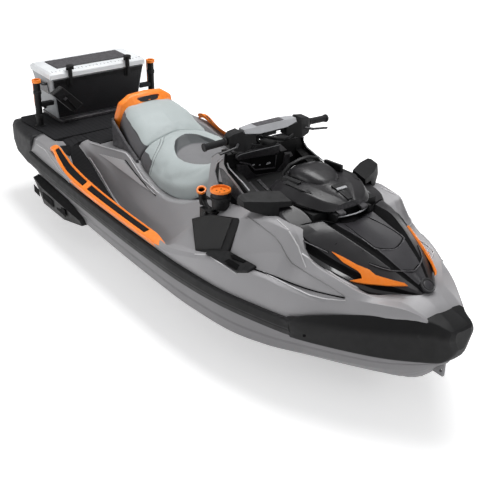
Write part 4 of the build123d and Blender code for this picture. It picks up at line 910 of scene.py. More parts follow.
def puff(ob, voxel=0.0065, pressure=4.0, cap=0.009, frames=20, pin_below=None, shrink=0.003):
    """Cloth under pressure on a remeshed copy; each point may leave its start by cap at the most."""
    r = ob.modifiers.new("remesh", "REMESH")
    r.mode, r.voxel_size = "VOXEL", voxel
    apply_mods(ob)
    me = ob.data
    push(me, [-shrink] * len(me.vertices))
    start = [v.co.copy() for v in me.vertices]
    norm0 = [v.normal.copy() for v in me.vertices]
    if pin_below is not None:
        g = ob.vertex_groups.new(name="pin")
        for v in me.vertices:
            w = 1.0 if v.co.z < pin_below(v.co) else 0.0
            if w:
                g.add([v.index], w, "REPLACE")
    c = ob.modifiers.new("cloth", "CLOTH")
    s = c.settings
    s.quality, s.mass, s.use_pressure, s.uniform_pressure_force = 4, 0.3, True, pressure
    s.tension_stiffness = s.compression_stiffness = 22
    s.bending_stiffness = 1.2
    s.effector_weights.gravity = 0
    if pin_below is not None:
        s.vertex_group_mass = "pin"
    c.point_cache.frame_start, c.point_cache.frame_end = 1, frames
    scene.frame_start, scene.frame_end = 1, frames
    for f in range(1, frames + 1):
        scene.frame_set(f)
    apply_mods(ob)
    me = ob.data
    swell = []
    for v, p, n in zip(me.vertices, start, norm0):
        d = v.co - p
        swell.append(max(-0.002, min(cap, d.dot(n))))
    swell = relaxed(me, swell, 10)
    flat = []
    for p, n, h in zip(start, norm0, swell):
        flat += [p[0] + n[0] * h, p[1] + n[1] * h, p[2] + n[2] * h]
    me.vertices.foreach_set("co", flat)
    scene.frame_set(1)
    ob.vertex_groups.clear()
    return ob


def subdivide(ob, levels=1):
    s = ob.modifiers.new("sub", "SUBSURF")
    s.levels = s.render_levels = levels
    apply_mods(ob)


def line_tree(lines, step=0.003):
    pts = []
    for ln in lines:
        P = [Vector((p[0], p[1], p[2] - WL)) for p in ln]
        for a, b in zip(P, P[1:]):
            n = max(1, int((b - a).length / step))
            pts += [a.lerp(b, i / n) for i in range(n)]
        pts.append(P[-1])
    kd = KDTree(len(pts))
    for i, p in enumerate(pts):
        kd.insert(p, i)
    kd.balance()
    return kd


def both_sides(ln):
    return [ln, [(p[0], -p[1], p[2]) for p in ln]]


def carve(ob, f):
    """Moves each point inward along its normal by f(point in keel heights, normal)."""
    me = ob.data
    up = Vector((0, 0, WL))
    push(me, [-f(v.co + up, v.normal) for v in me.vertices])


def field(ob, name, f):
    a = ob.data.attributes.new(name, "FLOAT", "POINT")
    a.data.foreach_set("value", [f(v.co + Vector((0, 0, WL)), v.normal) for v in ob.data.vertices])


def smooth01(a, b, x):
    t = min(1.0, max(0.0, (x - a) / (b - a)))
    return t * t * (3 - 2 * t)


def seat_material():
    M = Mat("seat_vinyl_two_tone_painted_wall_shade")

    def attr(name):
        a = M.new("ShaderNodeAttribute", attribute_name=name)
        return a.outputs["Fac"]
    # light, mid and dark are the vinyl's own tones; back is painted shade for the rear wall of the sunk centre
    light, mid, dark, back = lin((170, 178, 178)), lin((118, 118, 120)), lin((78, 77, 80)), lin((66, 69, 71))
    big = M.noise(7, 4)
    c = M.ramp(big, [(0.3, shade(light, 0.95)), (0.7, shade(light, 1.03))])
    cm = M.ramp(big, [(0.3, shade(mid, 0.94)), (0.7, shade(mid, 1.05))])
    cd = M.ramp(big, [(0.3, shade(dark, 0.93)), (0.7, shade(dark, 1.06))])
    c = M.mix(M.mapr(attr("side"), -0.0012, 0.0012, 0.0, 1.0), c, cd)
    # the rear wall of the sunk centre is painted darker: painted shade
    inset_wall_shade = M.ramp(big, [(0.3, shade(back, 0.94)), (0.7, shade(back, 1.05))])
    cm = M.mix(M.mapr(attr("wall"), -0.006, 0.010, 0.0, 1.0), cm, inset_wall_shade)
    c = M.mix(M.mapr(attr("inset"), -0.0012, 0.0012, 0.0, 1.0), c, cm)
    seam = attr("seam")
    c = M.mix(M.mapr(seam, 0.0010, 0.0044, 0.80, 0.0), c, (0.05, 0.05, 0.052))
    # fine grain: voronoi cells darken the colour a little and bump the surface
    dash = M.mapr(M.noise(1, 0), 0, 1, 0, 1)
    v = M.new("ShaderNodeTexVoronoi", feature="SMOOTH_F1")
    v.inputs["Scale"].default_value = 420
    M.l.new(M.tc.outputs["Object"], v.inputs["Vector"])
    c = M.mix(M.mapr(v.outputs["Distance"], 0.2, 0.8, 0.0, 0.10), c, (0.08, 0.08, 0.08))
    n = M.bump(v.outputs["Distance"], 0.25, 0.0007)
    n = M.bump(M.mapr(seam, 0.0, 0.006, 0.0, 1.0), 0.4, 0.0015, n)
    n = M.bump(M.noise(55, 3), 0.06, 0.002, n)
    return M.out(c, M.mapr(M.noise(30, 3), 0.3, 0.7, 0.47, 0.57), n, spec=0.35, sheen=0.08, sheen_rough=0.5)


SEAT_MAT = seat_material()


def finish_seat(ob, node, seams, side, inset, depth):
    tree = line_tree(seams)
    dist = lambda p: tree.find(p - Vector((0, 0, WL)))[2]
    line = [tree.find(v.co)[2] for v in ob.data.vertices]
    carve(ob, lambda p, n: 0.0042 * depth * math.exp(-(dist(p) / 0.0045) ** 2))
    ins = [inset(v.co + Vector((0, 0, WL)), v.normal) for v in ob.data.vertices]
    co = [0.0] * (3 * len(ins))
    ob.data.vertices.foreach_get("co", co)
    for i, d in enumerate(ins):
        x, y = co[3 * i], co[3 * i + 1]
        deep = 0.024 * smooth01(0.0, 0.075, x + 0.392) * (1 - 0.6 * smooth01(0.02, 0.12, x))
        co[3 * i + 2] -= deep * smooth01(-0.002, 0.014, d)
    ob.data.vertices.foreach_set("co", co)
    a = ob.data.attributes.new("inset", "FLOAT", "POINT")
    a.data.foreach_set("value", ins)
    field(ob, "side", side)
    # wall: how far aft of the foot of the inset's rear wall a point lies; the seat material paints shade there
    base = table([(0.0, -.312), (.05, -.308), (.10, -.292), (.141, -.262), (.19, -.240)])
    field(ob, "wall", lambda p, n: base(min(0.19, abs(p.y)))[0] - p.x)
    a = ob.data.attributes.new("seam", "FLOAT", "POINT")
    a.data.foreach_set("value", line)
    ob.data.materials.clear()
    ob.data.materials.append(SEAT_MAT)
    ob.data.polygons.foreach_set("use_smooth", [True] * len(ob.data.polygons))
    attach(ob, "craft")
    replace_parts(ob, node)


def build_seats():
    rear = seat_mesh("passenger_seat", SEAT_R, -0.915, -0.488, 0.045)
    puff(rear, 0.0065, 4.0, 0.009)
    subdivide(rear)
    front = seat_mesh("rider_seat", SEAT_F, -0.482, 0.224, 0.060)
    puff(front, 0.0080, 4.0, 0.009)
    subdivide(front)
    # passenger seat: light top, dark side below a line that falls toward the bow
    edge_r = table([(-0.92, .790), (-0.86, .818), (-0.80, .812), (-0.765, .801), (-0.686, .782), (-0.621, .760), (-0.565, .734), (-0.508, .710), (-0.44, .680)])
    side_r = lambda p, n: min(edge_r(p.x)[0] - p.z, abs(p.y) - 0.10)

    def snap(ob, lines):
        kd = KDTree(len(ob.data.vertices))
        for i, v in enumerate(ob.data.vertices):
            kd.insert(v.co, i)
        kd.balance()
        up = Vector((0, 0, WL))
        return [[tuple(kd.find(Vector(q) - up)[0] + up) for q in catmull(ln, 14)] for ln in lines]
    side_seam = both_sides([(-.765, .192, .799), (-.724, .202, .791), (-.686, .209, .782), (-.652, .215, .771), (-.621, .219, .760), (-.593, .222, .747), (-.565, .224, .734), (-.536, .227, .722), (-.508, .230, .710), (-.490, .232, .700)])
    finish_seat(rear, "seat_rear", snap(rear, side_seam), side_r, lambda p, n: -1.0, 0.35)
    # rider seat: bolstered sides, a sunk centre open toward the bow
    hw = table([(-.386, .010), (-.380, .045), (-.366, .080), (-.340, .103), (-.314, .122), (-.282, .140), (-.249, .154), (-.210, .166), (-.170, .172), (-.130, .170), (-.090, .158), (-.050, .138), (-.010, .122), (.05, .114), (.13, .116), (.23, .118)])
    edge = [(x, s * hw(x)[0], WL) for x in spread(-.386, .225, .004) for s in (1, -1)] + [(-.387, .002 * k, WL) for k in range(-5, 6)]
    rim = KDTree(len(edge))
    for i, p in enumerate(edge):
        rim.insert(Vector((p[0], p[1], 0)), i)
    rim.balance()

    def inset(p, n):
        if p.z < 0.66 or n.z < 0.05:
            return -1.0
        d = rim.find(Vector((p.x, p.y, 0)))[2]
        return d if p.x > -.386 and abs(p.y) < hw(p.x)[0] else -d
    tri = table([(-.50, .689), (-.462, .6855), (-.408, .6855), (-.376, .678), (-.345, .669), (-.30, .655)])
    cut_x = table([(.55, -.346), (.602, -.344), (.639, -.337), (.668, -.343), (.695, -.352), (.75, -.38)])
    side_f = lambda p, n: min(tri(p.x)[0] - p.z, cut_x(p.z)[0] - p.x, abs(p.y) - 0.12) if p.x < -0.30 else -1.0
    main = [(-.460, .060, .756), (-.460, .099, .746), (-.440, .116, .745), (-.416, .134, .744), (-.393, .155, .737), (-.372, .176, .730), (-.355, .196, .723), (-.342, .212, .715), (-.332, .228, .705), (-.326, .241, .693), (-.323, .252, .680), (-.320, .263, .666), (-.319, .274, .652), (-.319, .284, .636), (-.316, .289, .619), (-.325, .288, .597)]
    second = [(-.447, .140, .741), (-.417, .158, .740), (-.395, .180, .733), (-.379, .199, .725), (-.367, .215, .716), (-.358, .229, .706), (-.351, .241, .695), (-.347, .252, .682), (-.342, .263, .668), (-.338, .273, .654), (-.336, .282, .639), (-.336, .287, .623), (-.344, .287, .602)]
    top = [(-.460, .060, .756), (-.457, .030, .760), (-.456, 0, .761), (-.457, -.030, .760), (-.460, -.060, .756)]
    finish_seat(front, "seat_front", snap(front, both_sides(main) + both_sides(second) + [top]), side_f, inset, 1.0)


build_seats()

# =============================================================================
# hood, intakes, accents, badge
# =============================================================================
def along(curve):
    """Point at 0..1 along a list of points, smooth in x."""
    xs = [p[0] for p in curve]
    fy, fz = pchip(xs, [p[1] for p in curve]), pchip(xs, [p[2] for p in curve])
    return lambda t: (xs[0] + (xs[-1] - xs[0]) * t, fy(xs[0] + (xs[-1] - xs[0]) * t), fz(xs[0] + (xs[-1] - xs[0]) * t))


H_D0 = along([(1.13, 0, .785), (1.22, 0, .778), (1.36, 0, .768), (1.42, 0, .758), (1.50, 0, .722), (1.60, 0, .672), (1.645, 0, .647)])
H_R2 = along([(1.13, .120, .806), (1.25, .105, .793), (1.375, .090, .773), (1.45, .075, .745), (1.50, .065, .723), (1.60, .032, .670), (1.643, .018, .646)])
H_V = along([(1.11, .140, .790), (1.25, .122, .777), (1.375, .104, .758), (1.45, .084, .734), (1.50, .074, .712), (1.60, .038, .662), (1.642, .024, .642)])
H_R1 = along([(1.095, .168, .818), (1.18, .172, .812), (1.30, .150, .785), (1.40, .122, .752), (1.495, .092, .714), (1.60, .048, .662), (1.642, .031, .641)])
E1_PTS = [(1.03, .290, .790), (1.12, .283, .762), (1.25, .258, .724), (1.40, .208, .690), (1.50, .158, .668), (1.60, .088, .648), (1.645, .040, .634)]
E_PTS = [(1.06, .330, .720), (1.12, .318, .696), (1.297, .285, .676), (1.388, .25, .654), (1.448, .225, .630), (1.500, .180, .618), (1.565, .12, .622), (1.645, .052, .626)]
H_E1 = along(E1_PTS)
E1_Y, E1_Z = pchip([p[0] for p in E1_PTS], [p[1] for p in E1_PTS]), pchip([p[0] for p in E1_PTS], [p[2] for p in E1_PTS])
E_Y, E_Z = pchip([p[0] for p in E_PTS], [p[1] for p in E_PTS]), pchip([p[0] for p in E_PTS], [p[2] for p in E_PTS])


def build_hood():
    rows = []
    for k in range(45):
        t = k / 44
        e, r1, v, r2, d = H_E1(t), H_R1(t), H_V(t), H_R2(t), H_D0(t)
        mid = tuple(e[i] * 0.5 + r1[i] * 0.5 + (0, 0.003, 0.004)[i] for i in range(3))
        dd = tuple(d[i] * 0.6 + r2[i] * 0.4 - (0, 0, 0.003)[i] for i in range(3))
        half = [(e[0], e[1] - 0.012, e[2] - 0.036), (e[0], e[1], e[2] - 0.008), e, mid, r1, v, r2, dd]
        rows.append(half + [d] + [(p[0], -p[1], p[2]) for p in reversed(half)])
    # the skirt under the hood's edge and both faces of the V valley take shadow_gap_black: painted shade
    seg = [1, 1, 0, 0, 1, 1, 2, 2]
    loft("hood_shell", rows, ["charcoal", "dark", "charcoal_light"], seg_mat=seg + seg[::-1] + [1], replaces="hood", bevel=0.0035, bevel_angle=14, angle=50)
    # dark seam where the hood meets the cowl
    tube("hood_rear_gap", catmull([(1.028, -.284, .794), (1.085, -.170, .813), (1.118, -.110, .800), (1.128, 0, .784), (1.118, .110, .800), (1.085, .170, .813), (1.028, .284, .794)], 12), 0.005, ["dark"], n=8)


def side_point(x, s, out=0.0):
    """Point on the slope between the hood's edge (s = 0) and the intake's lower edge (s = 1)."""
    a, b = Vector((x, E1_Y(x), E1_Z(x))), Vector((x, E_Y(x), E_Z(x)))
    n = Vector((0.30, 0.62, 0.72)).normalized()
    return a.lerp(b, s) + n * out


def build_intakes():
    rows = []
    for x in spread(1.062, 1.60, 0.02):
        a, b = side_point(x, 0.02, -0.004), side_point(x, 0.97, 0.001)
        m1, m2 = side_point(x, 0.30, -0.012), side_point(x, 0.62, -0.006)
        rows.append([tuple(a), tuple(m1), tuple(m2), tuple(b), (b.x, b.y - 0.016, b.z - 0.030), (a.x, max(a.y - 0.055, 0.01), a.z - 0.045)])
    # the recessed upper half of each intake takes shadow_gap_black: painted shade in the opening; the rest is gloss
    # black
    loft("hood_intake_panels", rows, ["gloss", "dark"], seg_mat=[1, 1, 0, 0, 0, 0], mirror=True, replaces="hood_intakes", bevel=0.002, bevel_angle=12, angle=50)
    acc = [(1.2515, -.452), (1.3092, -.588), (1.3793, -.56), (1.4359, -.54), (1.4707, -.36), (1.530, -.62), (1.5871, -1.20), (1.5999, -1.05), (1.5351, .042), (1.4439, .563), (1.3917, .96),
           (1.4294, .278), (1.4150, .02), (1.3975, -.109), (1.3237, -.189)]
    verts, faces = [], []
    n = len(acc)
    for s in (1, -1):
        off = len(verts)
        for out in (-0.004, 0.009):
            for x, k in acc:
                p = side_point(x, k, out)
                verts.append((p.x, s * p.y, p.z))
        fs = [tuple(range(n, 2 * n)), tuple(reversed(range(n)))] + [(i, (i + 1) % n, n + (i + 1) % n, n + i) for i in range(n)]
        faces += [tuple(off + i for i in (f if s > 0 else reversed(f))) for f in fs]
    mesh_obj("bow_accent_blades", verts, faces, ["orange"], replaces="bow_accents", bevel=0.0018, bevel_angle=35, angle=40)
    b = from_cad("nose_badge", "gloss", 0.002, 2)
    a = Vector((0.0285, 0, 0.0405)).normalized()
    top = Vector((1.6385, 0, 0.6705))
    r = lathe("nose_badge_rim", [(-0.004, 0.0290), (0.0016, 0.0300), (0.0032, 0.0325), (0.0030, 0.0352), (0.0004, 0.0366), (-0.006, 0.0366)], tuple(top), tuple(a), ["bar"], n=48, caps=(False, False))
    c = lathe("nose_badge_dish", [(-0.003, 0.0285), (0.0012, 0.0200), (0.0022, 0.0080), (0.0024, 0.0008)], tuple(top), tuple(a), ["charcoal_light"], n=48, caps=(False, True))


build_hood()
build_intakes()


# =============================================================================
# storage lid, gauge pod, console dressing
# =============================================================================
def build_lid():
    body = "storage_lid_body"
    f = table([(0.705, .188, .860, .150, .884, .090, .890, .892), (0.760, .214, .868, .162, .900, .100, .906, .908), (0.830, .232, .870, .172, .912, .110, .918, .922),
               (0.900, .226, .870, .172, .916, .112, .924, .932), (0.960, .206, .866, .168, .914, .100, .922, .932), (1.020, .178, .862, .148, .904, .080, .912, .922),
               (1.065, .150, .856, .118, .890, .050, .898, .904), (1.098, .110, .852, .070, .874, .030, .880, .884)])
    rows = []
    for x in spread(0.705, 1.098, 0.014):
        ye, ze, ys, zs, yc, zc, zm = f(x)
        poly = [(ye - 0.012, 0.846), (ye, 0.850), (ye, ze), (ys, zs), (yc, zc), (yc * 0.5, zc - 0.003), (0.0, zm)]
        pts, _ = fillet(poly, [0, .004, .006, .010, .006, .02, 0], 3)
        rows.append([(x, y, z) for y, z in pts] + [(x, -y, z) for y, z in reversed(pts[:-1])])
    lid = loft("storage_lid_shell", rows, ["charcoal"], replaces="storage_lid", body=body, bevel=0.002, bevel_angle=40, angle=60)
    parts = []
    for s in (-1, 1):
        parts.append(tube("knuckle", [(1.118, s * 0.050, 0.838), (1.118, s * 0.090, 0.838)], 0.0085, ["charcoal"], n=20, body=body))
        parts.append(slab("knuckle_arm", [(1.075, s * 0.050, 0.848), (1.112, s * 0.050, 0.834), (1.118, s * 0.050, 0.846), (1.078, s * 0.050, 0.860)], (0, s * 0.040, 0), ["charcoal"], 0.001, body=body))
    # raised centre blade with a plain light bar, and a gasket line all round
    slab("lid_centre_blade", [(0.985, -.034, .922), (1.092, -.014, .884), (1.092, .014, .884), (0.985, .034, .922)], (0.004, 0, 0.010), ["black"], 0.003, body=body)
    slab("lid_plain_bar", [(1.020, -.030, .9215), (1.034, -.030, .9180), (1.034, .030, .9180), (1.020, .030, .9215)], (0.0012, 0, 0.0052), ["pad"], 0.0008, body=body)
    edge = [(x, f(x)[0] + 0.0008, f(x)[1] - 0.006) for x in spread(0.71, 1.09, 0.03)]
    tube("lid_gasket", edge, 0.0022, ["dark"], n=6, mirror=True, body=body)
    for s in (1, -1):
        slab("lid_vent_%s" % ("port" if s > 0 else "stbd"), [(0.80, s * .176, .9125), (0.93, s * .176, .9165), (0.99, s * .150, .9120), (0.96, s * .140, .9150), (0.80, s * .150, .9150)], (0, s * 0.001, 0.0035), ["black"], 0.0012, body=body)
    # bright strip under the front edge: a thin light tube of painted highlight
    tube("cowl_front_strip", [(1.106, -.100, .822), (1.128, -.050, .826), (1.136, 0, .828), (1.128, .050, .826), (1.106, .100, .822)], 0.0035, ["pad"], n=8)
    # pod: a rounded dome with an arched visor and a dark gauge glass toward the rider
    g = table([(0.712, .080, .926), (0.728, .094, .946), (0.760, .106, .962), (0.810, .110, .969), (0.865, .104, .965), (0.905, .088, .953), (0.935, .064, .940), (0.952, .040, .926)])
    rows = []
    for x in spread(0.712, 0.952, 0.010):
        Y, Z = g(x)
        ring = []
        for k in range(25):
            a = math.pi * k / 24
            c, sn = math.cos(a), math.sin(a)
            ring.append((x, Y * math.copysign(abs(c) ** 0.60, c), 0.882 + (Z - 0.882) * sn ** 0.62))
        rows.append(ring)
    loft("gauge_pod_dome", rows, ["charcoal"], replaces="gauge_pod", body=body, bevel=0.004, bevel_angle=45, angle=60)
    tube("gauge_visor", catmull([(0.728, -.122, .885), (0.722, -.120, .920), (0.728, -.098, .954), (0.738, -.050, .978), (0.742, 0, .985), (0.738, .050, .978), (0.728, .098, .954), (0.722, .120, .920), (0.728, .122, .885)], 8),
         0.011, ["black"], n=12, squash=0.7, body=body)
    for s in (-1, 1):
        slab("pod_side_fin_%d" % (s + 1), [(0.740, s * .128, .900), (0.740, s * .152, .896), (0.868, s * .150, .906), (0.872, s * .126, .912)], (0.004, -s * 0.006, 0.050 if s > 0 else 0.022), ["black"], 0.005, 3, body=body)
    slab("gauge_glass", [(0.7105, -.070, .896), (0.7105, .070, .896), (0.7105, .066, .926), (0.7105, .040, .940), (0.7105, -.040, .940), (0.7105, -.066, .926)], (-0.004, 0, 0), ["screen"], 0.002, body=body)


build_lid()


def build_console():
    c = from_cad("console", "console_black", 0.008, 3)
    # light side cheeks, each with a bright inner line of painted highlight
    def cy(z):
        return 0.252 + (0.947 - z) * 0.17
    def on(x, z, out):
        return (x, cy(z) + out, z)
    for s in (1, -1):
        tag = "port" if s > 0 else "stbd"
        P = [on(x, z, -0.004) for x, z in [(0.293, .690), (0.293, .898), (0.336, .932), (0.372, .942), (0.400, .934), (0.352, .896), (0.340, .840), (0.392, .772), (0.520, .715), (0.520, .690)]]
        slab("console_cheek_" + tag, [(p[0], s * p[1], p[2]) for p in P], (0, s * 0.009, 0), ["gelcoat"], 0.003, 3)
        tube("console_cheek_line_" + tag, [(p[0], s * (p[1] + 0.012), p[2]) for p in [on(0.404, .932, 0), on(0.360, .892, 0), on(0.350, .845, 0), on(0.398, .782, 0), on(0.516, .728, 0)]], 0.0035, ["pad"], n=8)
        # lower cheek pocket and ribs
        Q = [on(x, z, 0.001) for x, z in [(0.372, .870), (0.410, .872), (0.610, .800), (0.600, .745), (0.430, .790)]]
        slab("console_side_panel_" + tag, [(p[0], s * p[1], p[2]) for p in Q], (0, s * 0.005, 0), ["charcoal"], 0.002, 2)
        # light outer cheek reaching down along the footwell, its dark seal and a bright lip line of painted highlight
        W = [(0.370, .2532, .940), (0.400, .2495, .952), (0.4184, .2617, .8898), (0.486, .2664, .8615), (0.610, .2746, .806), (0.5837, .2822, .7694), (0.5261, .2766, .8024), (0.4793, .2739, .8183), (0.3825, .2776, .7962), (0.368, .2623, .8863)]
        slab("console_outer_cheek_" + tag, [(p[0], s * (p[1] - 0.004), p[2]) for p in W], (0, s * 0.008, 0), ["gelcoat"], 0.0025, 3)
        tube("console_seal_" + tag, catmull([(p[0], s * p[1], p[2]) for p in [(0.4045, .2475, .952), (0.4184, .2597, .8898), (0.486, .2644, .8623), (0.560, .2682, .838), (0.624, .2705, .812)]], 6), 0.0080, ["dark"], n=8)
        tube("console_lip_" + tag, catmull([(p[0], s * p[1], p[2]) for p in [(0.428, .2543, .9098), (0.4557, .2586, .8849), (0.5534, .2624, .8625), (0.600, .2646, .848), (0.640, .2668, .834)]], 6), 0.0034, ["pad"], n=8)
        for y in (0.090, 0.150):
            slab("console_rib_%s_%d" % (tag, y * 1000), [(0.484, s * y, .792), (0.484, s * (y + .022), .792), (0.648, s * (y + .014), .738), (0.648, s * y, .738)], (0.004, 0, 0.012), ["charcoal"], 0.003, 2)
    # tray rim, bolster, pocket with its painted shade and glints, lower face, inner panels, steering collar
    tube("console_tray_rim", catmull([(0.404, -.196, .948), (0.350, -.198, .948), (0.312, -.180, .942), (0.306, -.100, .938)], 6), 0.005, ["charcoal_light"], n=8, mirror=True)
    X = 0.4150
    slab("console_bolster", [(X, y, z) for y, z in [(-.200, .940), (-.178, .948), (.082, .946), (.078, .893), (.041, .890), (-.167, .909), (-.192, .909), (-.203, .926)]], (0.022, 0, 0), ["charcoal"], 0.007, 4)
    # a thin light tube along the bolster's top edge: painted highlight
    tube("console_bolster_edge", [(X + .0215, y, z) for y, z in [(-.196, .936), (-.178, .943), (.078, .941)]], 0.0022, ["pad"], n=8)
    # the pocket is a thin dark plate: painted shade in its hollow
    slab("console_front_pocket", [(X, y, z) for y, z in [(-.101, .903), (.024, .893), (.062, .888), (.063, .850), (.059, .814), (-.074, .831), (-.095, .850), (-.100, .869)]], (0.0040, 0, 0), ["dark"], 0.001)
    tube("console_pocket_rim", catmull([(X + .004, y, z) for y, z in [(-.170, .892), (-.128, .884), (-.104, .864), (-.094, .843), (-.074, .826), (.000, .817), (.059, .809), (.068, .830), (.068, .880)]], 5), 0.0055, ["charcoal_light"], n=10, squash=0.8)
    # three small light plates in the pocket: painted glints
    for k, (y, z, w, h) in enumerate([(-.085, .858, .009, .004), (-.043, .848, .005, .003), (.014, .845, .014, .006)]):
        slab("console_pocket_fitting_%d" % k, [(X + .003, y - w, z - h), (X + .003, y + w, z - h * .4), (X + .003, y + w * .8, z + h), (X + .003, y - w * .7, z + h * .3)], (0.007, 0, 0), ["pad"], 0.0015)
    slab("console_lower_face", [(X, y, z) for y, z in [(-.190, .882), (-.126, .868), (-.088, .816), (-.063, .795), (.071, .782), (.113, .822), (.122, .868), (.160, .868), (.160, .760), (-.190, .760)]], (0.0075, 0, 0), ["charcoal"], 0.003, 3)
    # two panels inside the console in the darker gelcoat copy: painted shade
    for k, P in enumerate([[(.091, .940), (.140, .892), (.095, .893), (.088, .912)], [(.122, .882), (.168, .876), (.184, .850), (.140, .843)]]):
        slab("console_inner_panel_%d" % k, [(X, y, z) for y, z in P], (0.006, 0, 0), ["gelcoat_painted_shade"], 0.0015)
    tube("steering_collar_ring", [(0.356 + 0.078 * math.cos(a), 0.092 * math.sin(a), 0.9500) for a in [2 * math.pi * k / 40 for k in range(41)]], 0.007, ["rubber"], n=10)


build_console()


def build_steering():
    body = "steering_head"
    pad = from_cad("handlebar_pad", "pad", 0.010, 4)
    slab("pad_top_insert", [(0.404, -.088, 1.0828), (0.450, -.088, 1.0820), (0.450, .088, 1.0820), (0.404, .088, 1.0828)], (0, 0, 0.0022), ["charcoal_light"], 0.0010, body=body)
    for s in (1, -1):
        tag = "port" if s > 0 else "stbd"
        for k, (x, y, z, w, h, m) in enumerate([(0.398, .182, 1.040, .010, .007, "orange" if s < 0 else "pad"), (0.397, .205, 1.030, .008, .008, "pad"), (0.398, .222, 1.046, .007, .006, "charcoal_light"), (0.399, .186, 1.010, .009, .010, "charcoal_light")]):
            slab("switch_%s_%d" % (tag, k), [(x, s * (y - w), z - h), (x, s * (y + w), z - h), (x, s * (y + w), z + h), (x, s * (y - w), z + h)], (-0.0045, 0, 0), [m], 0.0018, body=body)
        tube("control_cable_" + tag, catmull([(0.462, s * .150, 1.006), (0.478, s * .110, .992), (0.462, s * .062, .982), (0.400, s * .036, .978), (0.362, s * .020, .972)], 8), 0.0055, ["rubber"], n=8, body=body)
        tube("control_cable2_" + tag, catmull([(0.446, s * .185, .986), (0.462, s * .130, .970), (0.438, s * .080, .966), (0.385, s * .045, .972), (0.355, s * .022, .976)], 8), 0.0042, ["rubber"], n=8, body=body)
        lathe("grip_collar_" + tag, [(0.0, .0150), (0.001, .0205), (0.007, .0215), (0.012, .0190), (0.013, .0178)], (0.4312, s * 0.268, 1.0297), (-0.033, s * 1.0, -0.041), ["black"], n=28, body=body, caps=(False, False))
        tube("lever_knuckle_" + tag, [(0.462, s * .214, 1.024), (0.462, s * .214, 1.008)], 0.011, ["black"], n=20, body=body)


build_steering()


# =============================================================================
# hoop, trim, mats
# =============================================================================
def build_hoop():
    o = catmull([(.184, .575), (.194, .640), (.202, .720), (.200, .790), (.186, .850), (.150, .892), (.085, .910), (0, .914)], 6)
    i = catmull([(.158, .575), (.166, .640), (.170, .700), (.166, .756), (.152, .798), (.120, .830), (.070, .846), (0, .850)], 6)
    full_o = o + [(-p[0], p[1]) for p in reversed(o[:-1])]
    full_i = i + [(-p[0], p[1]) for p in reversed(i[:-1])]
    rows = []
    n = len(full_o)
    for k in range(n):
        (yo, zo), (yi, zi) = full_o[k], full_i[k]
        w = smooth01(0.80, 0.90, zo)
        sx = lambda z: -0.945 + (z - 0.575) * 0.20
        rear_o, rear_i = sx(zo) + 0.004, sx(zi) + 0.002
        front_o, front_i = rear_o + 0.050 - 0.006 * w, rear_i + 0.070 + 0.032 * smooth01(0.76, 0.85, zi)
        rows.append([(rear_i, yi, zi), (rear_o, yo, zo), (front_o, yo, zo), (front_i, yi, zi)])
    ob = loft("grab_hoop_body", rows, ["orange", "dark"], replaces=(), bevel=0.011, segs=4, bevel_angle=40, angle=60)
    boolean(ob, [ring_mesh([[(x, 0.078 * math.copysign(abs(math.cos(t)) ** 0.5, math.cos(t)), 0.881 + 0.0105 * math.copysign(abs(math.sin(t)) ** 0.6, math.sin(t))) for t in [2 * math.pi * k / 32 for k in range(32)]] for x in (-0.99, -0.80)])])
    polish(ob, 50, True, 0.0022, 2, 50)
    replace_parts(ob, "grab_hoop")
    # plain dark oval panel on the slope toward the seat
    a, b = Vector((-0.8165, 0, 0.8985)), Vector((-0.7885, 0, 0.8565))
    u = (b - a).normalized()
    nrm = Vector((-u.z, 0, u.x))
    if nrm.x < 0:
        nrm = -nrm
    c = a.lerp(b, 0.5)
    ring = []
    for k in range(40):
        w = 2 * math.pi * k / 40
        y = 0.070 * math.copysign(abs(math.cos(w)) ** 0.6, math.cos(w))
        t = 0.0165 * math.copysign(abs(math.sin(w)) ** 0.7, math.sin(w))
        p = c + u * t + nrm * 0.001
        ring.append((p.x - 0.012 * (y / 0.07) ** 2, y, p.z - 0.004 * (y / 0.07) ** 2))
    slab("hoop_plain_panel", ring, tuple(nrm * 0.0035), ["gloss"], 0.0012)


build_hoop()

TRIM_T = [(-1.100, .560, .556, .546, .584), (-1.040, .574, .574, .536, .606), (-0.930, .590, .526, .540, .584), (-0.810, .601, .484, .549, .558), (-0.600, .613, .477, .556, .532),
          (-0.330, .619, .476, .560, .516), (0.000, .622, .476, .562, .508), (0.207, .621, .475, .560, .504), (0.290, .617, .472, .568, .490), (0.365, .606, .470, .584, .480)]
trim_f = table(TRIM_T)


def trim_part(name, x0, x1, k0, k1, lift, mats, replaces=(), bevel=0.0025, down=0.016, outer=False):
    """Part of the raised side trim between fractions k0 and k1 of its sloping top."""
    rows = []
    for x in spread(x0, x1, 0.03):
        yo, zl, yi, zi = trim_f(x)
        zt = zl + 0.020
        def top(k, d):
            return (x, yo + (yi - yo) * k, zt + (zi - zt) * k + d)
        a, b = top(k0, lift), top(k1, lift)
        if outer:
            rows.append([(x, yo, zl - 0.004), (x, yo + 0.001, zt), b, (b[0], b[1], b[2] - down), (x, yo - 0.010, zl - 0.006)])
        else:
            rows.append([(a[0], a[1], a[2] - down), a, b, (b[0], b[1], b[2] - down)])
    return loft(name, rows, mats, mirror=True, replaces=replaces, bevel=bevel, bevel_angle=35, angle=45)


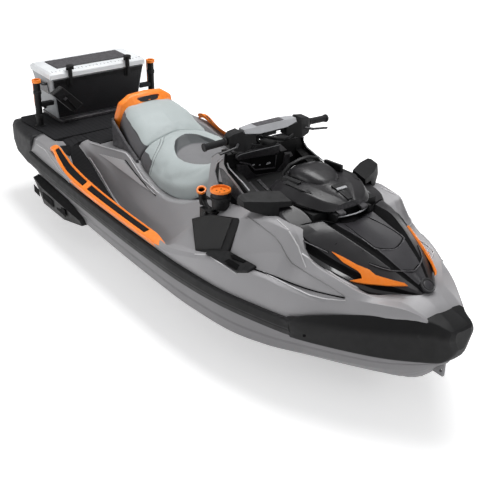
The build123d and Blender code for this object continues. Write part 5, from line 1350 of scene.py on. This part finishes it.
trim_part("gunwale_trim_outer", -1.100, 0.365, 0.0, 0.26, 0.0, ["orange"], "gunwale_trim", outer=True)
trim_part("gunwale_trim_inner", -1.060, 0.360, 0.82, 1.0, 0.001, ["orange"], bevel=0.002, down=0.012)
trim_part("gunwale_trim_base", -1.085, 0.350, 0.20, 0.90, -0.006, ["orange"], bevel=0.001)
trim_part("gunwale_trim_front", 0.150, 0.362, 0.10, 0.95, 0.001, ["orange"], bevel=0.002)
trim_part("gunwale_trim_rear", -1.096, -1.012, 0.10, 0.95, 0.001, ["orange"], bevel=0.002)
trim_part("gunwale_trim_bridge", -0.585, -0.535, 0.10, 0.95, 0.0005, ["orange"], bevel=0.002)
trim_part("gunwale_grip_pad_aft", -1.005, -0.592, 0.28, 0.80, 0.001, ["foam"], "gunwale_pads", bevel=0.002)
trim_part("gunwale_grip_pad_fore", -0.528, 0.142, 0.28, 0.80, 0.001, ["foam"], bevel=0.002)


def build_mats():
    rows = []
    for x in spread(-1.160, 0.090, 0.03):
        v = deck_f(x)
        (yo, zo), (yi, zi) = (v[4], v[5]), (v[6], v[7])
        e = smooth01(-1.160, -1.10, x) * smooth01(0.090, 0.03, x) if False else 1.0
        a, b = (x, yo - 0.006, zo + 0.012), (x, yi + 0.010, zi + 0.012)
        rows.append([(a[0], a[1], a[2] - 0.022), a, tuple(a[i] * 0.5 + b[i] * 0.5 for i in range(3)), b, (b[0], b[1], b[2] - 0.022)])
    loft("footwell_foam_mats", rows, ["foam"], mirror=True, replaces="footwell_mats", bevel=0.004, bevel_angle=40, angle=45)
    # dark seam line along each side panel of the bow deck
    seam = [(0.985, .482, .606), (1.063, .452, .604), (1.226, .402, .600), (1.322, .362, .600), (1.436, .312, .609)]
    tube("deck_panel_seam", catmull(seam, 8), 0.0034, ["dark"], n=8, mirror=True)


build_mats()


# =============================================================================
# cooler, poles, deck fittings
# =============================================================================
def build_cooler():
    def face(z):
        """Front face of the box at height z."""
        return -1.520 + (z - 0.592) * (0.042 / 0.284)
    def quad(y0, y1, z0, z1, out, t, mats, name, bev=0.0015, body="craft", shrink=0.0):
        P = [(face(z0) + out, y0, z0), (face(z0) + out, y1, z0), (face(z1) + out, y1 + shrink, z1), (face(z1) + out, y0 - shrink, z1)]
        return slab(name, P, (t, 0, 0), mats, bev, body=body)
    quad(-.296, .296, .600, .850, 0.0005, 0.006, ["perf"], "cooler_front_panel", shrink=0.036)
    quad(-.330, .330, .845, .872, 0.0005, 0.009, ["black"], "cooler_front_strip", shrink=0.006)
    for s in (1, -1):
        for k, y in enumerate((.215,)):
            quad(s * y - .024, s * y + .024, .822, .876, 0.003, 0.012, ["black"], "latch_bracket_%d" % (s + 1), 0.003)
    # carrying recess and handle on each end, drain plug
    for s in (1, -1):
        slab("cooler_end_recess_%d" % (s + 1), [(-1.700, s * .3335, .760), (-1.560, s * .3335, .760), (-1.560, s * .3415, .830), (-1.700, s * .3415, .830)], (0, s * 0.003, 0), ["charcoal"], 0.0015)
        tube("cooler_end_handle_%d" % (s + 1), catmull([(-1.690, s * .336, .838), (-1.690, s * .352, .826), (-1.630, s * .356, .816), (-1.570, s * .352, .826), (-1.570, s * .336, .838)], 6), 0.007, ["black"], n=12)
    lathe("cooler_drain_plug", [(0.0, .017), (0.004, .019), (0.010, .018), (0.011, .012), (0.016, .011), (0.0165, .004)], (-1.690, -0.3135, .640), (0, -1, 0), ["black"], n=32)
    # lid rim ruler ticks, pad border, T handles on the latches
    body = "cooler_lid_body"
    for k in range(25):
        y = -.330 + k * .0275
        L = .014 if k % 4 else .024
        slab("lid_tick_%02d" % k, [(-1.4865 - L, y - .0016, .9262), (-1.4865, y - .0016, .9262), (-1.4865, y + .0016, .9262), (-1.4865 - L, y + .0016, .9262)], (0, 0, 0.0008), ["charcoal_light"], 0, body=body)
    tube("lid_pad_border", [(-1.737, -.267, .9305), (-1.551, -.267, .9305), (-1.551, .267, .9305), (-1.737, .267, .9305), (-1.737, -.267, .9305)], 0.0022, ["black"], n=6, body=body)
    for s in (1, -1):
        y = s * .215
        lathe("latch_knob_%d" % (s + 1), [(0.0, .009), (0.004, .024), (0.012, .027), (0.018, .026), (0.020, .022), (0.0205, .006)], (-1.464, y, .944), (0, 0, 1), ["black"], n=32, body=body)
        slab("latch_web_%d" % (s + 1), [(-1.4555, y - .007, .832), (-1.4555, y + .007, .832), (-1.4555, y + .007, .944), (-1.4555, y - .007, .944)], (0.005, 0, 0), ["black"], 0.0015, body=body)
    # straps and sockets of the rod holders
    for s in (1, -1):
        for z in (.640, .800):
            lathe("pole_clamp_%d_%d" % (s + 1, z * 1000), [(-0.012, .0230), (-0.010, .0270), (0.010, .0270), (0.012, .0230)], (-1.528, s * .432, z), (0, 0, 1), ["rubber"], n=32, caps=(False, False))
        slab("pole_bracket_%d" % (s + 1), [(-1.545, s * .330, .700), (-1.505, s * .330, .700), (-1.505, s * .330, .728), (-1.545, s * .330, .728)], (0, s * 0.085, 0), ["black"], 0.004)
        slab("pole_strap_%d" % (s + 1), [(-1.562, s * (.432 + .012), .700), (-1.562, s * (.432 - .012), .700), (-1.566, s * (.432 - .012), .868), (-1.566, s * (.432 + .012), .868)], (-0.003, 0, 0), ["orange"], 0.001)
    # tool holder flap and buckle
    slab("tool_holder_flap", [(-1.4085, -.366, .806), (-1.4085, -.306, .838), (-1.4085, -.262, .790), (-1.4085, -.322, .752)], (0.005, 0, 0), ["black"], 0.002)
    slab("tool_holder_buckle", [(-1.4025, -.310, .766), (-1.4025, -.290, .777), (-1.4025, -.278, .762), (-1.4025, -.298, .751)], (0.006, 0, 0), ["bar"], 0.002)
    tube("tool_holder_strap", [(-1.4055, -.300, .800), (-1.4055, -.282, .768), (-1.4055, -.208, .668)], 0.005, ["rubber"], n=8, squash=0.4)


build_cooler()


def build_fittings():
    # display case: bevelled slab with a lighter facet
    F = [(0.5765, -0.5561, 0.5463), (0.7945, -0.5069, 0.6287), (0.7597, -0.3998, 0.7642), (0.5229, -0.4298, 0.7050), (0.4074, -0.4685, 0.6451)]
    N = Vector((-0.05263443, -0.79006526, 0.61075896))
    c = sum((Vector(p) for p in F), Vector()) / len(F)
    F = [tuple(Vector(p) - N * ((Vector(p) - c).dot(N))) for p in F]
    slab("display_case", F, tuple(N * -0.036), ["black"], 0.007, 4, replaces="fish_finder", bevel_angle=40, angle=50)
    G = [tuple(Vector(p).lerp(c, 0.10) + N * 0.0002) for p in F]
    H = [G[0], tuple(Vector(G[1]).lerp(Vector(G[0]), 0.16)), tuple(Vector(G[2]).lerp(Vector(G[3]), 0.20)), G[3], G[4]]
    slab("display_case_face", H, tuple(N * 0.0035), ["fabric"], 0.003, 3)
    # sponson recesses, each a thin dark plate: painted shade
    for s in (1, -1):
        for k, (x0, x1) in enumerate([(-1.330, -1.235), (-1.200, -1.030), (-.990, -.850)]):
            slab("sponson_recess_%d_%d" % (s + 1, k), [(x0, s * .600, .200), (x1, s * .604, .196), (x1, s * .607, .246), (x0, s * .600, .252)], (0, s * 0.003, 0), ["dark"], 0.001)
    g = [(-0.95, .334, .520), (-0.80, .339, .500), (-0.62, .346, .466), (-0.36, .383, .430), (-0.12, .412, .432)]
    # cap at the accessory mount
    lathe("mount_knob", [(0.0, .006), (0.002, .017), (0.010, .019), (0.016, .017), (0.018, .006)], (0.470, -0.421, .676), (0, -1, 0.2), ["black"], n=28)
    lathe("cup_liner", [(0.0, .0425), (0.002, .0448), (0.005, .0452), (0.0075, .0450), (0.0078, .0380)], (0.507, -0.352, .800), (0, 0, 1), ["orange"], n=48)
    # four small dark discs on the liner stand for its holes: painted shade
    for k in range(4):
        w = math.pi / 4 + k * math.pi / 2
        lathe("cup_liner_hole_%d" % k, [(0.0, .0042), (0.0006, .0046), (0.0012, .0040)], (0.507 + 0.020 * math.cos(w), -0.352 + 0.020 * math.sin(w), .8075), (0, 0, 1), ["dark"], n=16)
    lathe("cup_band", [(-0.010, .0500), (-0.008, .0522), (0.008, .0526), (0.010, .0508)], (0.507, -0.352, .770), (0, 0, 1), ["rubber"], n=48, caps=(False, False))


build_fittings()


TRACED = {
    "ledge_hi": [(1.026, 0.463, 0.606), (1.052, 0.456, 0.603), (1.079, 0.450, 0.600), (1.106, 0.444, 0.598), (1.132, 0.438, 0.596), (1.159, 0.432, 0.593), (1.185, 0.424, 0.591), (1.212, 0.417, 0.588), (1.238, 0.409, 0.586), (1.264, 0.401, 0.583), (1.288, 0.392, 0.580), (1.312, 0.379, 0.581), (1.338, 0.367, 0.582), (1.362, 0.354, 0.583), (1.381, 0.343, 0.587), (1.401, 0.332, 0.591), (1.421, 0.321, 0.595), (1.440, 0.310, 0.599)],
    "ledge_aft": [(0.623, 0.586, 0.563), (0.661, 0.575, 0.574), (0.691, 0.558, 0.581), (0.739, 0.563, 0.587), (0.776, 0.561, 0.587), (0.809, 0.557, 0.584), (0.840, 0.550, 0.580), (0.865, 0.545, 0.576), (0.889, 0.540, 0.571), (0.913, 0.534, 0.567)],
    "shoulder_groove": [(0.788, 0.387, 0.782), (0.824, 0.394, 0.786), (0.852, 0.395, 0.785), (0.879, 0.395, 0.784), (0.904, 0.394, 0.782), (0.926, 0.392, 0.778), (0.947, 0.391, 0.774), (0.968, 0.388, 0.769), (0.988, 0.386, 0.765), (1.008, 0.384, 0.760), (1.024, 0.383, 0.752), (1.039, 0.382, 0.743), (1.054, 0.381, 0.734), (1.069, 0.382, 0.722), (1.081, 0.380, 0.709), (1.093, 0.379, 0.695), (1.109, 0.375, 0.681), (1.125, 0.371, 0.667), (1.147, 0.367, 0.663), (1.171, 0.364, 0.661), (1.197, 0.363, 0.660), (1.223, 0.362, 0.659), (1.246, 0.360, 0.657), (1.269, 0.356, 0.655), (1.289, 0.352, 0.652), (1.309, 0.347, 0.649), (1.328, 0.341, 0.645), (1.347, 0.336, 0.641), (1.365, 0.330, 0.637), (1.382, 0.325, 0.632), (1.399, 0.320, 0.626), (1.415, 0.315, 0.621), (1.430, 0.309, 0.615)],
    "ridge": [(0.956, 0.334, 0.817), (0.982, 0.338, 0.816), (1.007, 0.341, 0.814), (1.030, 0.344, 0.812), (1.055, 0.347, 0.810), (1.079, 0.353, 0.804), (1.094, 0.352, 0.793), (1.107, 0.349, 0.780), (1.122, 0.347, 0.764), (1.139, 0.345, 0.749), (1.149, 0.346, 0.735), (1.160, 0.346, 0.721), (1.172, 0.348, 0.709), (1.183, 0.350, 0.698), (1.194, 0.350, 0.686), (1.207, 0.353, 0.676)],
    "rim": [(1.165, 0.344, 0.726), (1.184, 0.338, 0.721), (1.199, 0.330, 0.712), (1.196, 0.306, 0.692), (1.030, 0.141, 0.556), (1.230, 0.293, 0.679), (1.030, 0.099, 0.519), (1.269, 0.288, 0.673), (1.291, 0.288, 0.672), (1.312, 0.287, 0.670), (1.333, 0.285, 0.668), (1.352, 0.283, 0.666), (1.372, 0.281, 0.664), (1.389, 0.277, 0.660), (1.407, 0.273, 0.657), (1.419, 0.259, 0.649), (1.427, 0.239, 0.637), (1.435, 0.221, 0.626)],
    "wall_low": [(-1.009, 0.336, 0.484), (-0.966, 0.338, 0.466), (-0.918, 0.342, 0.451), (-0.867, 0.348, 0.438), (-0.826, 0.354, 0.425), (-0.786, 0.359, 0.412), (-0.746, 0.365, 0.399), (-0.706, 0.371, 0.387), (-0.664, 0.377, 0.376), (-0.621, 0.385, 0.365), (-0.566, 0.394, 0.358), (-0.511, 0.403, 0.351), (-0.454, 0.413, 0.345)],
    "wall_top": [(-1.070, 0.298, 0.558), (-1.021, 0.295, 0.566), (-0.969, 0.293, 0.574), (-0.918, 0.291, 0.582), (-0.867, 0.290, 0.591), (-0.816, 0.289, 0.599), (-0.763, 0.289, 0.609), (-0.708, 0.290, 0.620), (-0.655, 0.292, 0.630), (-0.608, 0.290, 0.637), (-0.575, 0.294, 0.633), (-0.545, 0.297, 0.627), (-0.512, 0.301, 0.617), (-0.480, 0.304, 0.606), (-0.449, 0.308, 0.595), (-0.417, 0.312, 0.585), (-0.385, 0.316, 0.575), (-0.352, 0.320, 0.565), (-0.312, 0.322, 0.561), (-0.272, 0.324, 0.556), (-0.234, 0.326, 0.552), (-0.196, 0.327, 0.547), (-0.158, 0.329, 0.542)],
    "groove": [(-0.586, 0.304, 0.602), (-0.560, 0.307, 0.596), (-0.533, 0.309, 0.589), (-0.507, 0.312, 0.583), (-0.482, 0.314, 0.577), (-0.456, 0.317, 0.571), (-0.430, 0.320, 0.565), (-0.403, 0.322, 0.560), (-0.378, 0.324, 0.555), (-0.351, 0.327, 0.551), (-0.325, 0.329, 0.547), (-0.298, 0.332, 0.543), (-0.273, 0.334, 0.539), (-0.247, 0.336, 0.536), (-0.222, 0.337, 0.533), (-0.196, 0.339, 0.530), (-0.171, 0.341, 0.528)],
    "blade": [(-0.912, 0.317, 0.539), (-0.864, 0.314, 0.548), (-0.817, 0.311, 0.556), (-0.770, 0.309, 0.564), (-0.719, 0.307, 0.573), (-0.667, 0.306, 0.583), (-0.615, 0.306, 0.593), (-0.575, 0.309, 0.587), (-0.536, 0.312, 0.580), (-0.497, 0.316, 0.574), (-0.459, 0.318, 0.568), (-0.421, 0.321, 0.561), (-0.384, 0.324, 0.555), (-0.349, 0.327, 0.551), (-0.315, 0.329, 0.547), (-0.281, 0.331, 0.543), (-0.247, 0.334, 0.539), (-0.214, 0.336, 0.535), (-0.180, 0.339, 0.532), (-0.220, 0.339, 0.531), (-0.260, 0.339, 0.531), (-0.302, 0.338, 0.531), (-0.345, 0.337, 0.529), (-0.389, 0.335, 0.531), (-0.434, 0.333, 0.532), (-0.483, 0.330, 0.531), (-0.529, 0.328, 0.532), (-0.575, 0.326, 0.532), (-0.619, 0.324, 0.533), (-0.664, 0.323, 0.534), (-0.708, 0.321, 0.535), (-0.751, 0.321, 0.538)],
    "cleat": [(0.659, 0.534, 0.572), (0.797, 0.493, 0.618), (0.987, 0.470, 0.615), (0.975, 0.510, 0.591), (0.913, 0.533, 0.570), (0.701, 0.565, 0.584)],
    "cleat_r1": [(0.824, 0.505, 0.610), (0.844, 0.494, 0.617), (0.926, 0.486, 0.618), (0.921, 0.497, 0.609), (0.850, 0.514, 0.609)],
    "cleat_r2": [(0.833, 0.544, 0.595), (0.841, 0.523, 0.605), (0.912, 0.513, 0.601), (0.912, 0.530, 0.583)],
    "pocket": [(-1.137, 0.478, 0.556), (-1.165, 0.395, 0.533), (-1.124, 0.412, 0.510), (-1.095, 0.437, 0.489), (-1.049, 0.493, 0.546)],
    "quarter_line": [(-1.321, 0.556, 0.525), (-1.251, 0.560, 0.529), (-1.181, 0.563, 0.533), (-1.117, 0.571, 0.524), (-1.055, 0.579, 0.516), (-0.995, 0.586, 0.507), (-0.936, 0.592, 0.498), (-0.890, 0.596, 0.491), (-0.846, 0.599, 0.483), (-0.804, 0.601, 0.474), (-0.768, 0.602, 0.463), (-0.740, 0.598, 0.448)],
}


def patch(name, pts, out, thick, mats, bevel=0.001, **kw):
    """Thin plate with the outline pts, laid on the surface; on both sides of the craft."""
    P = [Vector(p) for p in pts]
    c = sum(P, Vector()) / len(P)
    n = Vector()
    for a, b in zip(P, P[1:] + P[:1]):
        n += (a - c).cross(b - c)
    n.normalize()
    if n.z < 0:
        n = -n
    verts, faces = [], []
    k = len(P)
    for s in (1, -1):
        off = len(verts)
        for d in (out - thick, out):
            verts += [((p + n * d).x, s * (p + n * d).y, (p + n * d).z) for p in P]
        fs = [tuple(range(k, 2 * k)), tuple(reversed(range(k)))] + [(i, (i + 1) % k, k + (i + 1) % k, k + i) for i in range(k)]
        faces += [tuple(off + i for i in f) for f in fs]
    return mesh_obj(name, verts, faces, mats, bevel=bevel, bevel_angle=40, angle=40, **kw)


def build_lines():
    def line(key, r, mat, name=None, squash=1.0, lift=0.0):
        pts = [(p[0], p[1], p[2] + lift) for p in TRACED[key]]
        tube(name or "line_" + key, pts, r, [mat], n=8, mirror=True, squash=squash)
    # the light tubes along the ledges, ridge, rim, wall edges and quarter line are painted highlights; the shoulder
    # groove and groove tubes are painted shade
    line("ledge_hi", 0.0045, "crease_painted_highlight", squash=0.6)
    line("ledge_aft", 0.0040, "crease_painted_highlight", squash=0.6)
    line("shoulder_groove", 0.0026, "gelcoat_painted_shade")
    line("ridge", 0.0030, "crease_painted_highlight")
    line("rim", 0.0042, "crease_painted_highlight", squash=0.7)
    line("wall_low", 0.0040, "crease_painted_highlight")
    line("wall_top", 0.0040, "crease_painted_highlight")
    line("groove", 0.0045, "dark", squash=0.6)
    line("quarter_line", 0.0030, "crease_painted_highlight")
    # a light plate on the seat base: painted highlight on a lit facet
    patch("seat_base_blade", TRACED["blade"], 0.003, 0.010, ["crease_painted_highlight"], 0.0015)
    patch("side_cleat_plates", TRACED["cleat"], 0.017, 0.040, ["black"], 0.004, replaces="side_cleats")
    # dark plates in the cleat's recesses: painted shade
    patch("cleat_recess_a", TRACED["cleat_r1"], 0.0155, 0.006, ["dark"], 0.0006)
    patch("cleat_recess_b", TRACED["cleat_r2"], 0.0160, 0.006, ["dark"], 0.0006)
    patch("stern_pocket", TRACED["pocket"], 0.004, 0.010, ["black"], 0.002)
    # creases of the hood: sunk centre, the fold above the nose and the outer ridge; each is a dark tube of painted
    # shade with a lighter tube of painted highlight beside it
    HOOD_LINES = {
        "dish": [(1.100, -.060, .7885), (1.156, -.074, .7935), (1.207, -.081, .7915), (1.256, -.086, .7875), (1.306, -.089, .7835), (1.353, -.0895, .7765), (1.376, -.087, .7715), (1.393, -.060, .7650), (1.407, -.025, .7590), (1.413, 0, .7580)],
        "fold": [(1.410, -.152, .7280), (1.460, -.122, .7190), (1.486, -.102, .7140), (1.507, -.073, .7090), (1.527, -.042, .7080), (1.545, 0, .7020)],
        "ridge": [(1.052, -.285, .7680), (1.097, -.285, .7550), (1.143, -.280, .7520), (1.183, -.268, .7480), (1.240, -.247, .7390)],
    }
    for key, P in HOOD_LINES.items():
        tube("hood_%s_groove" % key, P, 0.0036, ["dark"], n=8, mirror=True, squash=0.7)
        tube("hood_%s_lip" % key, [(p[0] + (0.005 if key != "ridge" else 0.0), p[1] - (0.006 if p[1] else 0.0), p[2] - 0.0004) for p in P], 0.0028, ["charcoal_light"], n=8, mirror=True, squash=0.7)


build_lines()


def build_cowl_side():
    rows = []
    f = table([(0.700, .300, .700, .300, .760, .285, .805, .225, .815), (0.880, .310, .700, .314, .770, .292, .838, .232, .858), (0.980, .316, .700, .320, .760, .304, .812, .214, .846),
               (1.040, .318, .700, .318, .750, .296, .790, .206, .826), (1.078, .318, .700, .314, .735, .288, .770, .204, .800)])
    for x in spread(0.700, 1.078, 0.02):
        v = f(x)
        poly = [(0.204, 0.700), (v[0], v[1]), (v[2], v[3]), (v[4], v[5]), (v[6], v[7]), (0.204, v[7] - 0.004)]
        pts, _ = fillet(poly, [0, .004, .010, .010, .006, 0], 3)
        rows.append([(x, y, z) for y, z in pts])
    loft("cowl_side_panels", rows, ["charcoal"], mirror=True, replaces="cowl_fairings", bevel=0.003, bevel_angle=40, angle=50)
    # shroud band round the back of the seat
    f = catmull([(-0.985, 0, .735), (-0.980, .110, .740), (-0.955, .190, .745), (-0.900, .232, .775), (-0.850, .246, .765), (-0.760, .256, .735), (-0.665, .264, .685), (-0.560, .276, .655), (-0.475, .292, .640)], 5)
    rows = []
    for k, p in enumerate(f):
        a, b = f[max(k - 1, 0)], f[min(k + 1, len(f) - 1)]
        t = Vector((b[0] - a[0], b[1] - a[1], 0)).normalized()
        n = Vector((-t.y, t.x, 0))
        if n.y > 0 or (abs(n.y) < 0.05 and n.x > 0):
            pass
        n = n if (Vector((p[0] + 0.55, p[1], 0)).dot(n) < 0) else -n
        lo = 0.570
        rows.append([(p[0], p[1], lo), (p[0], p[1], p[2] - 0.004), (p[0] + n.x * 0.016, p[1] + n.y * 0.016, p[2]), (p[0] + n.x * 0.020, p[1] + n.y * 0.020, p[2] - 0.050), (p[0] + n.x * 0.014, p[1] + n.y * 0.014, lo)])
    loft("seat_shroud_band", rows, ["charcoal_light"], mirror=True, replaces="seat_shroud", bevel=0.003, bevel_angle=30, angle=45)


build_cowl_side()


def build_rear_mat():
    rows = []
    for x in spread(-1.245, -0.960, 0.02):
        v = deck_f(x)
        rows.append([(x, -v[10] + 0.012, v[11] - 0.010), (x, -v[10] + 0.012, v[11] + 0.007), (x, 0, v[12] + 0.008), (x, v[10] - 0.012, v[11] + 0.007), (x, v[10] - 0.012, v[11] - 0.010), (x, 0, v[12] - 0.02)])
    loft("rear_deck_mat_fore", rows, ["foam_fine"], bevel=0.002, bevel_angle=40, angle=40)
    rows = []
    for x in spread(-1.245, -1.135, 0.02):
        v = deck_f(x)
        rows.append([(x, v[10] - 0.010, v[11] - 0.01), (x, v[10] - 0.010, v[11] + 0.007), (x, v[6], max(v[7], v[9]) + 0.008), (x, v[4] - 0.004, v[5] + 0.008), (x, v[4] - 0.004, v[5] - 0.01)])
    loft("rear_deck_mat_sides", rows, ["foam_fine"], mirror=True, bevel=0.002, bevel_angle=40, angle=40)


build_rear_mat()

# =============================================================================
# CAD nodes that keep their shape: rounded copies in the right finish
# =============================================================================
REST = {
    "swim_platform": ("platform", .012, 3), "ladder_lugs": ("black", .002, 2), "boarding_ladder": ("steel", 0, 0), "rear_deck_mat": ("foam_fine", .003, 2),
    "footwell_mats": ("foam", .003, 2), "gunwale_trim": ("orange", .004, 2), "gunwale_pads": ("black", .003, 2), "grab_hoop": ("orange", .010, 3),
    "seat_rear": ("seat_light", .03, 4), "seat_front": ("seat_light", .03, 4),
    "seat_shroud": ("charcoal", .005, 2), "hood": ("charcoal", .006, 3), "hood_intakes": ("gloss", .004, 2), "bow_accents": ("orange", .003, 2), "nose_badge": ("gloss", .002, 2),
    "console": ("charcoal", .006, 3), "storage_coaming": ("black", .003, 2), "cowl_fairings": ("charcoal", .008, 3), "mirrors": ("console_black", .008, 3),
    "side_cleats": ("black", .006, 3), "cup_holder": ("black", .0, 0), "cup_rim": ("orange", .0015, 2), "front_rod_tube": ("black", 0, 0), "front_rod_ring": ("orange", .0015, 2),
    "accessory_mount": ("black", .003, 2), "fish_finder": ("fabric", .008, 3), "sponsons": ("black", .006, 2), "cooler_base": ("charcoal", .006, 2), "cooler_body": ("shell", .006, 3),
    "rear_rod_holders": ("black", .0015, 2), "rod_holder_caps": ("orange", .002, 2), "tool_holder": ("fabric", .006, 3), "jet_pump": ("cast", .002, 2), "stator": ("cast", 0, 0),
    # the bow eye takes the darker gelcoat copy: painted shadow
    "ride_plate": ("cast", .002, 2), "intake_grate": ("steel", .0015, 2), "engine_block": ("black", .01, 2), "bow_eye": ("gelcoat_painted_shade", .0015, 2), "stern_eyes": ("steel", .0015, 2),
    "steering_column": ("black", .004, 2), "handlebar": ("bar", 0, 0), "handlebar_pad": ("pad", .006, 3), "handgrips": ("grip", .0015, 2), "control_housings": ("black", .005, 3),
    "control_levers": ("bar", 0, 0), "storage_lid": ("charcoal", .006, 3), "gauge_pod": ("charcoal", .012, 4), "glovebox_lid": ("charcoal", .003, 2), "cooler_lid": ("white", .005, 3),
    "cooler_lid_pad": ("charcoal_light", .002, 2), "cooler_latches": ("black", .002, 2), "steering_nozzle": ("cast", .002, 2), "reverse_bucket": ("black", .003, 2), "impeller": ("steel", .001, 1),
}
replaced = set()
for o in bpy.data.objects:
    replaced |= set(o.get("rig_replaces", []))
for node, (key, bev, seg) in REST.items():
    if node not in replaced:
        from_cad(node, key, bev, seg)
left = sorted(set(NODES) - set(REST) - replaced)
if left:
    print("NODES WITHOUT A FINISH:", left)
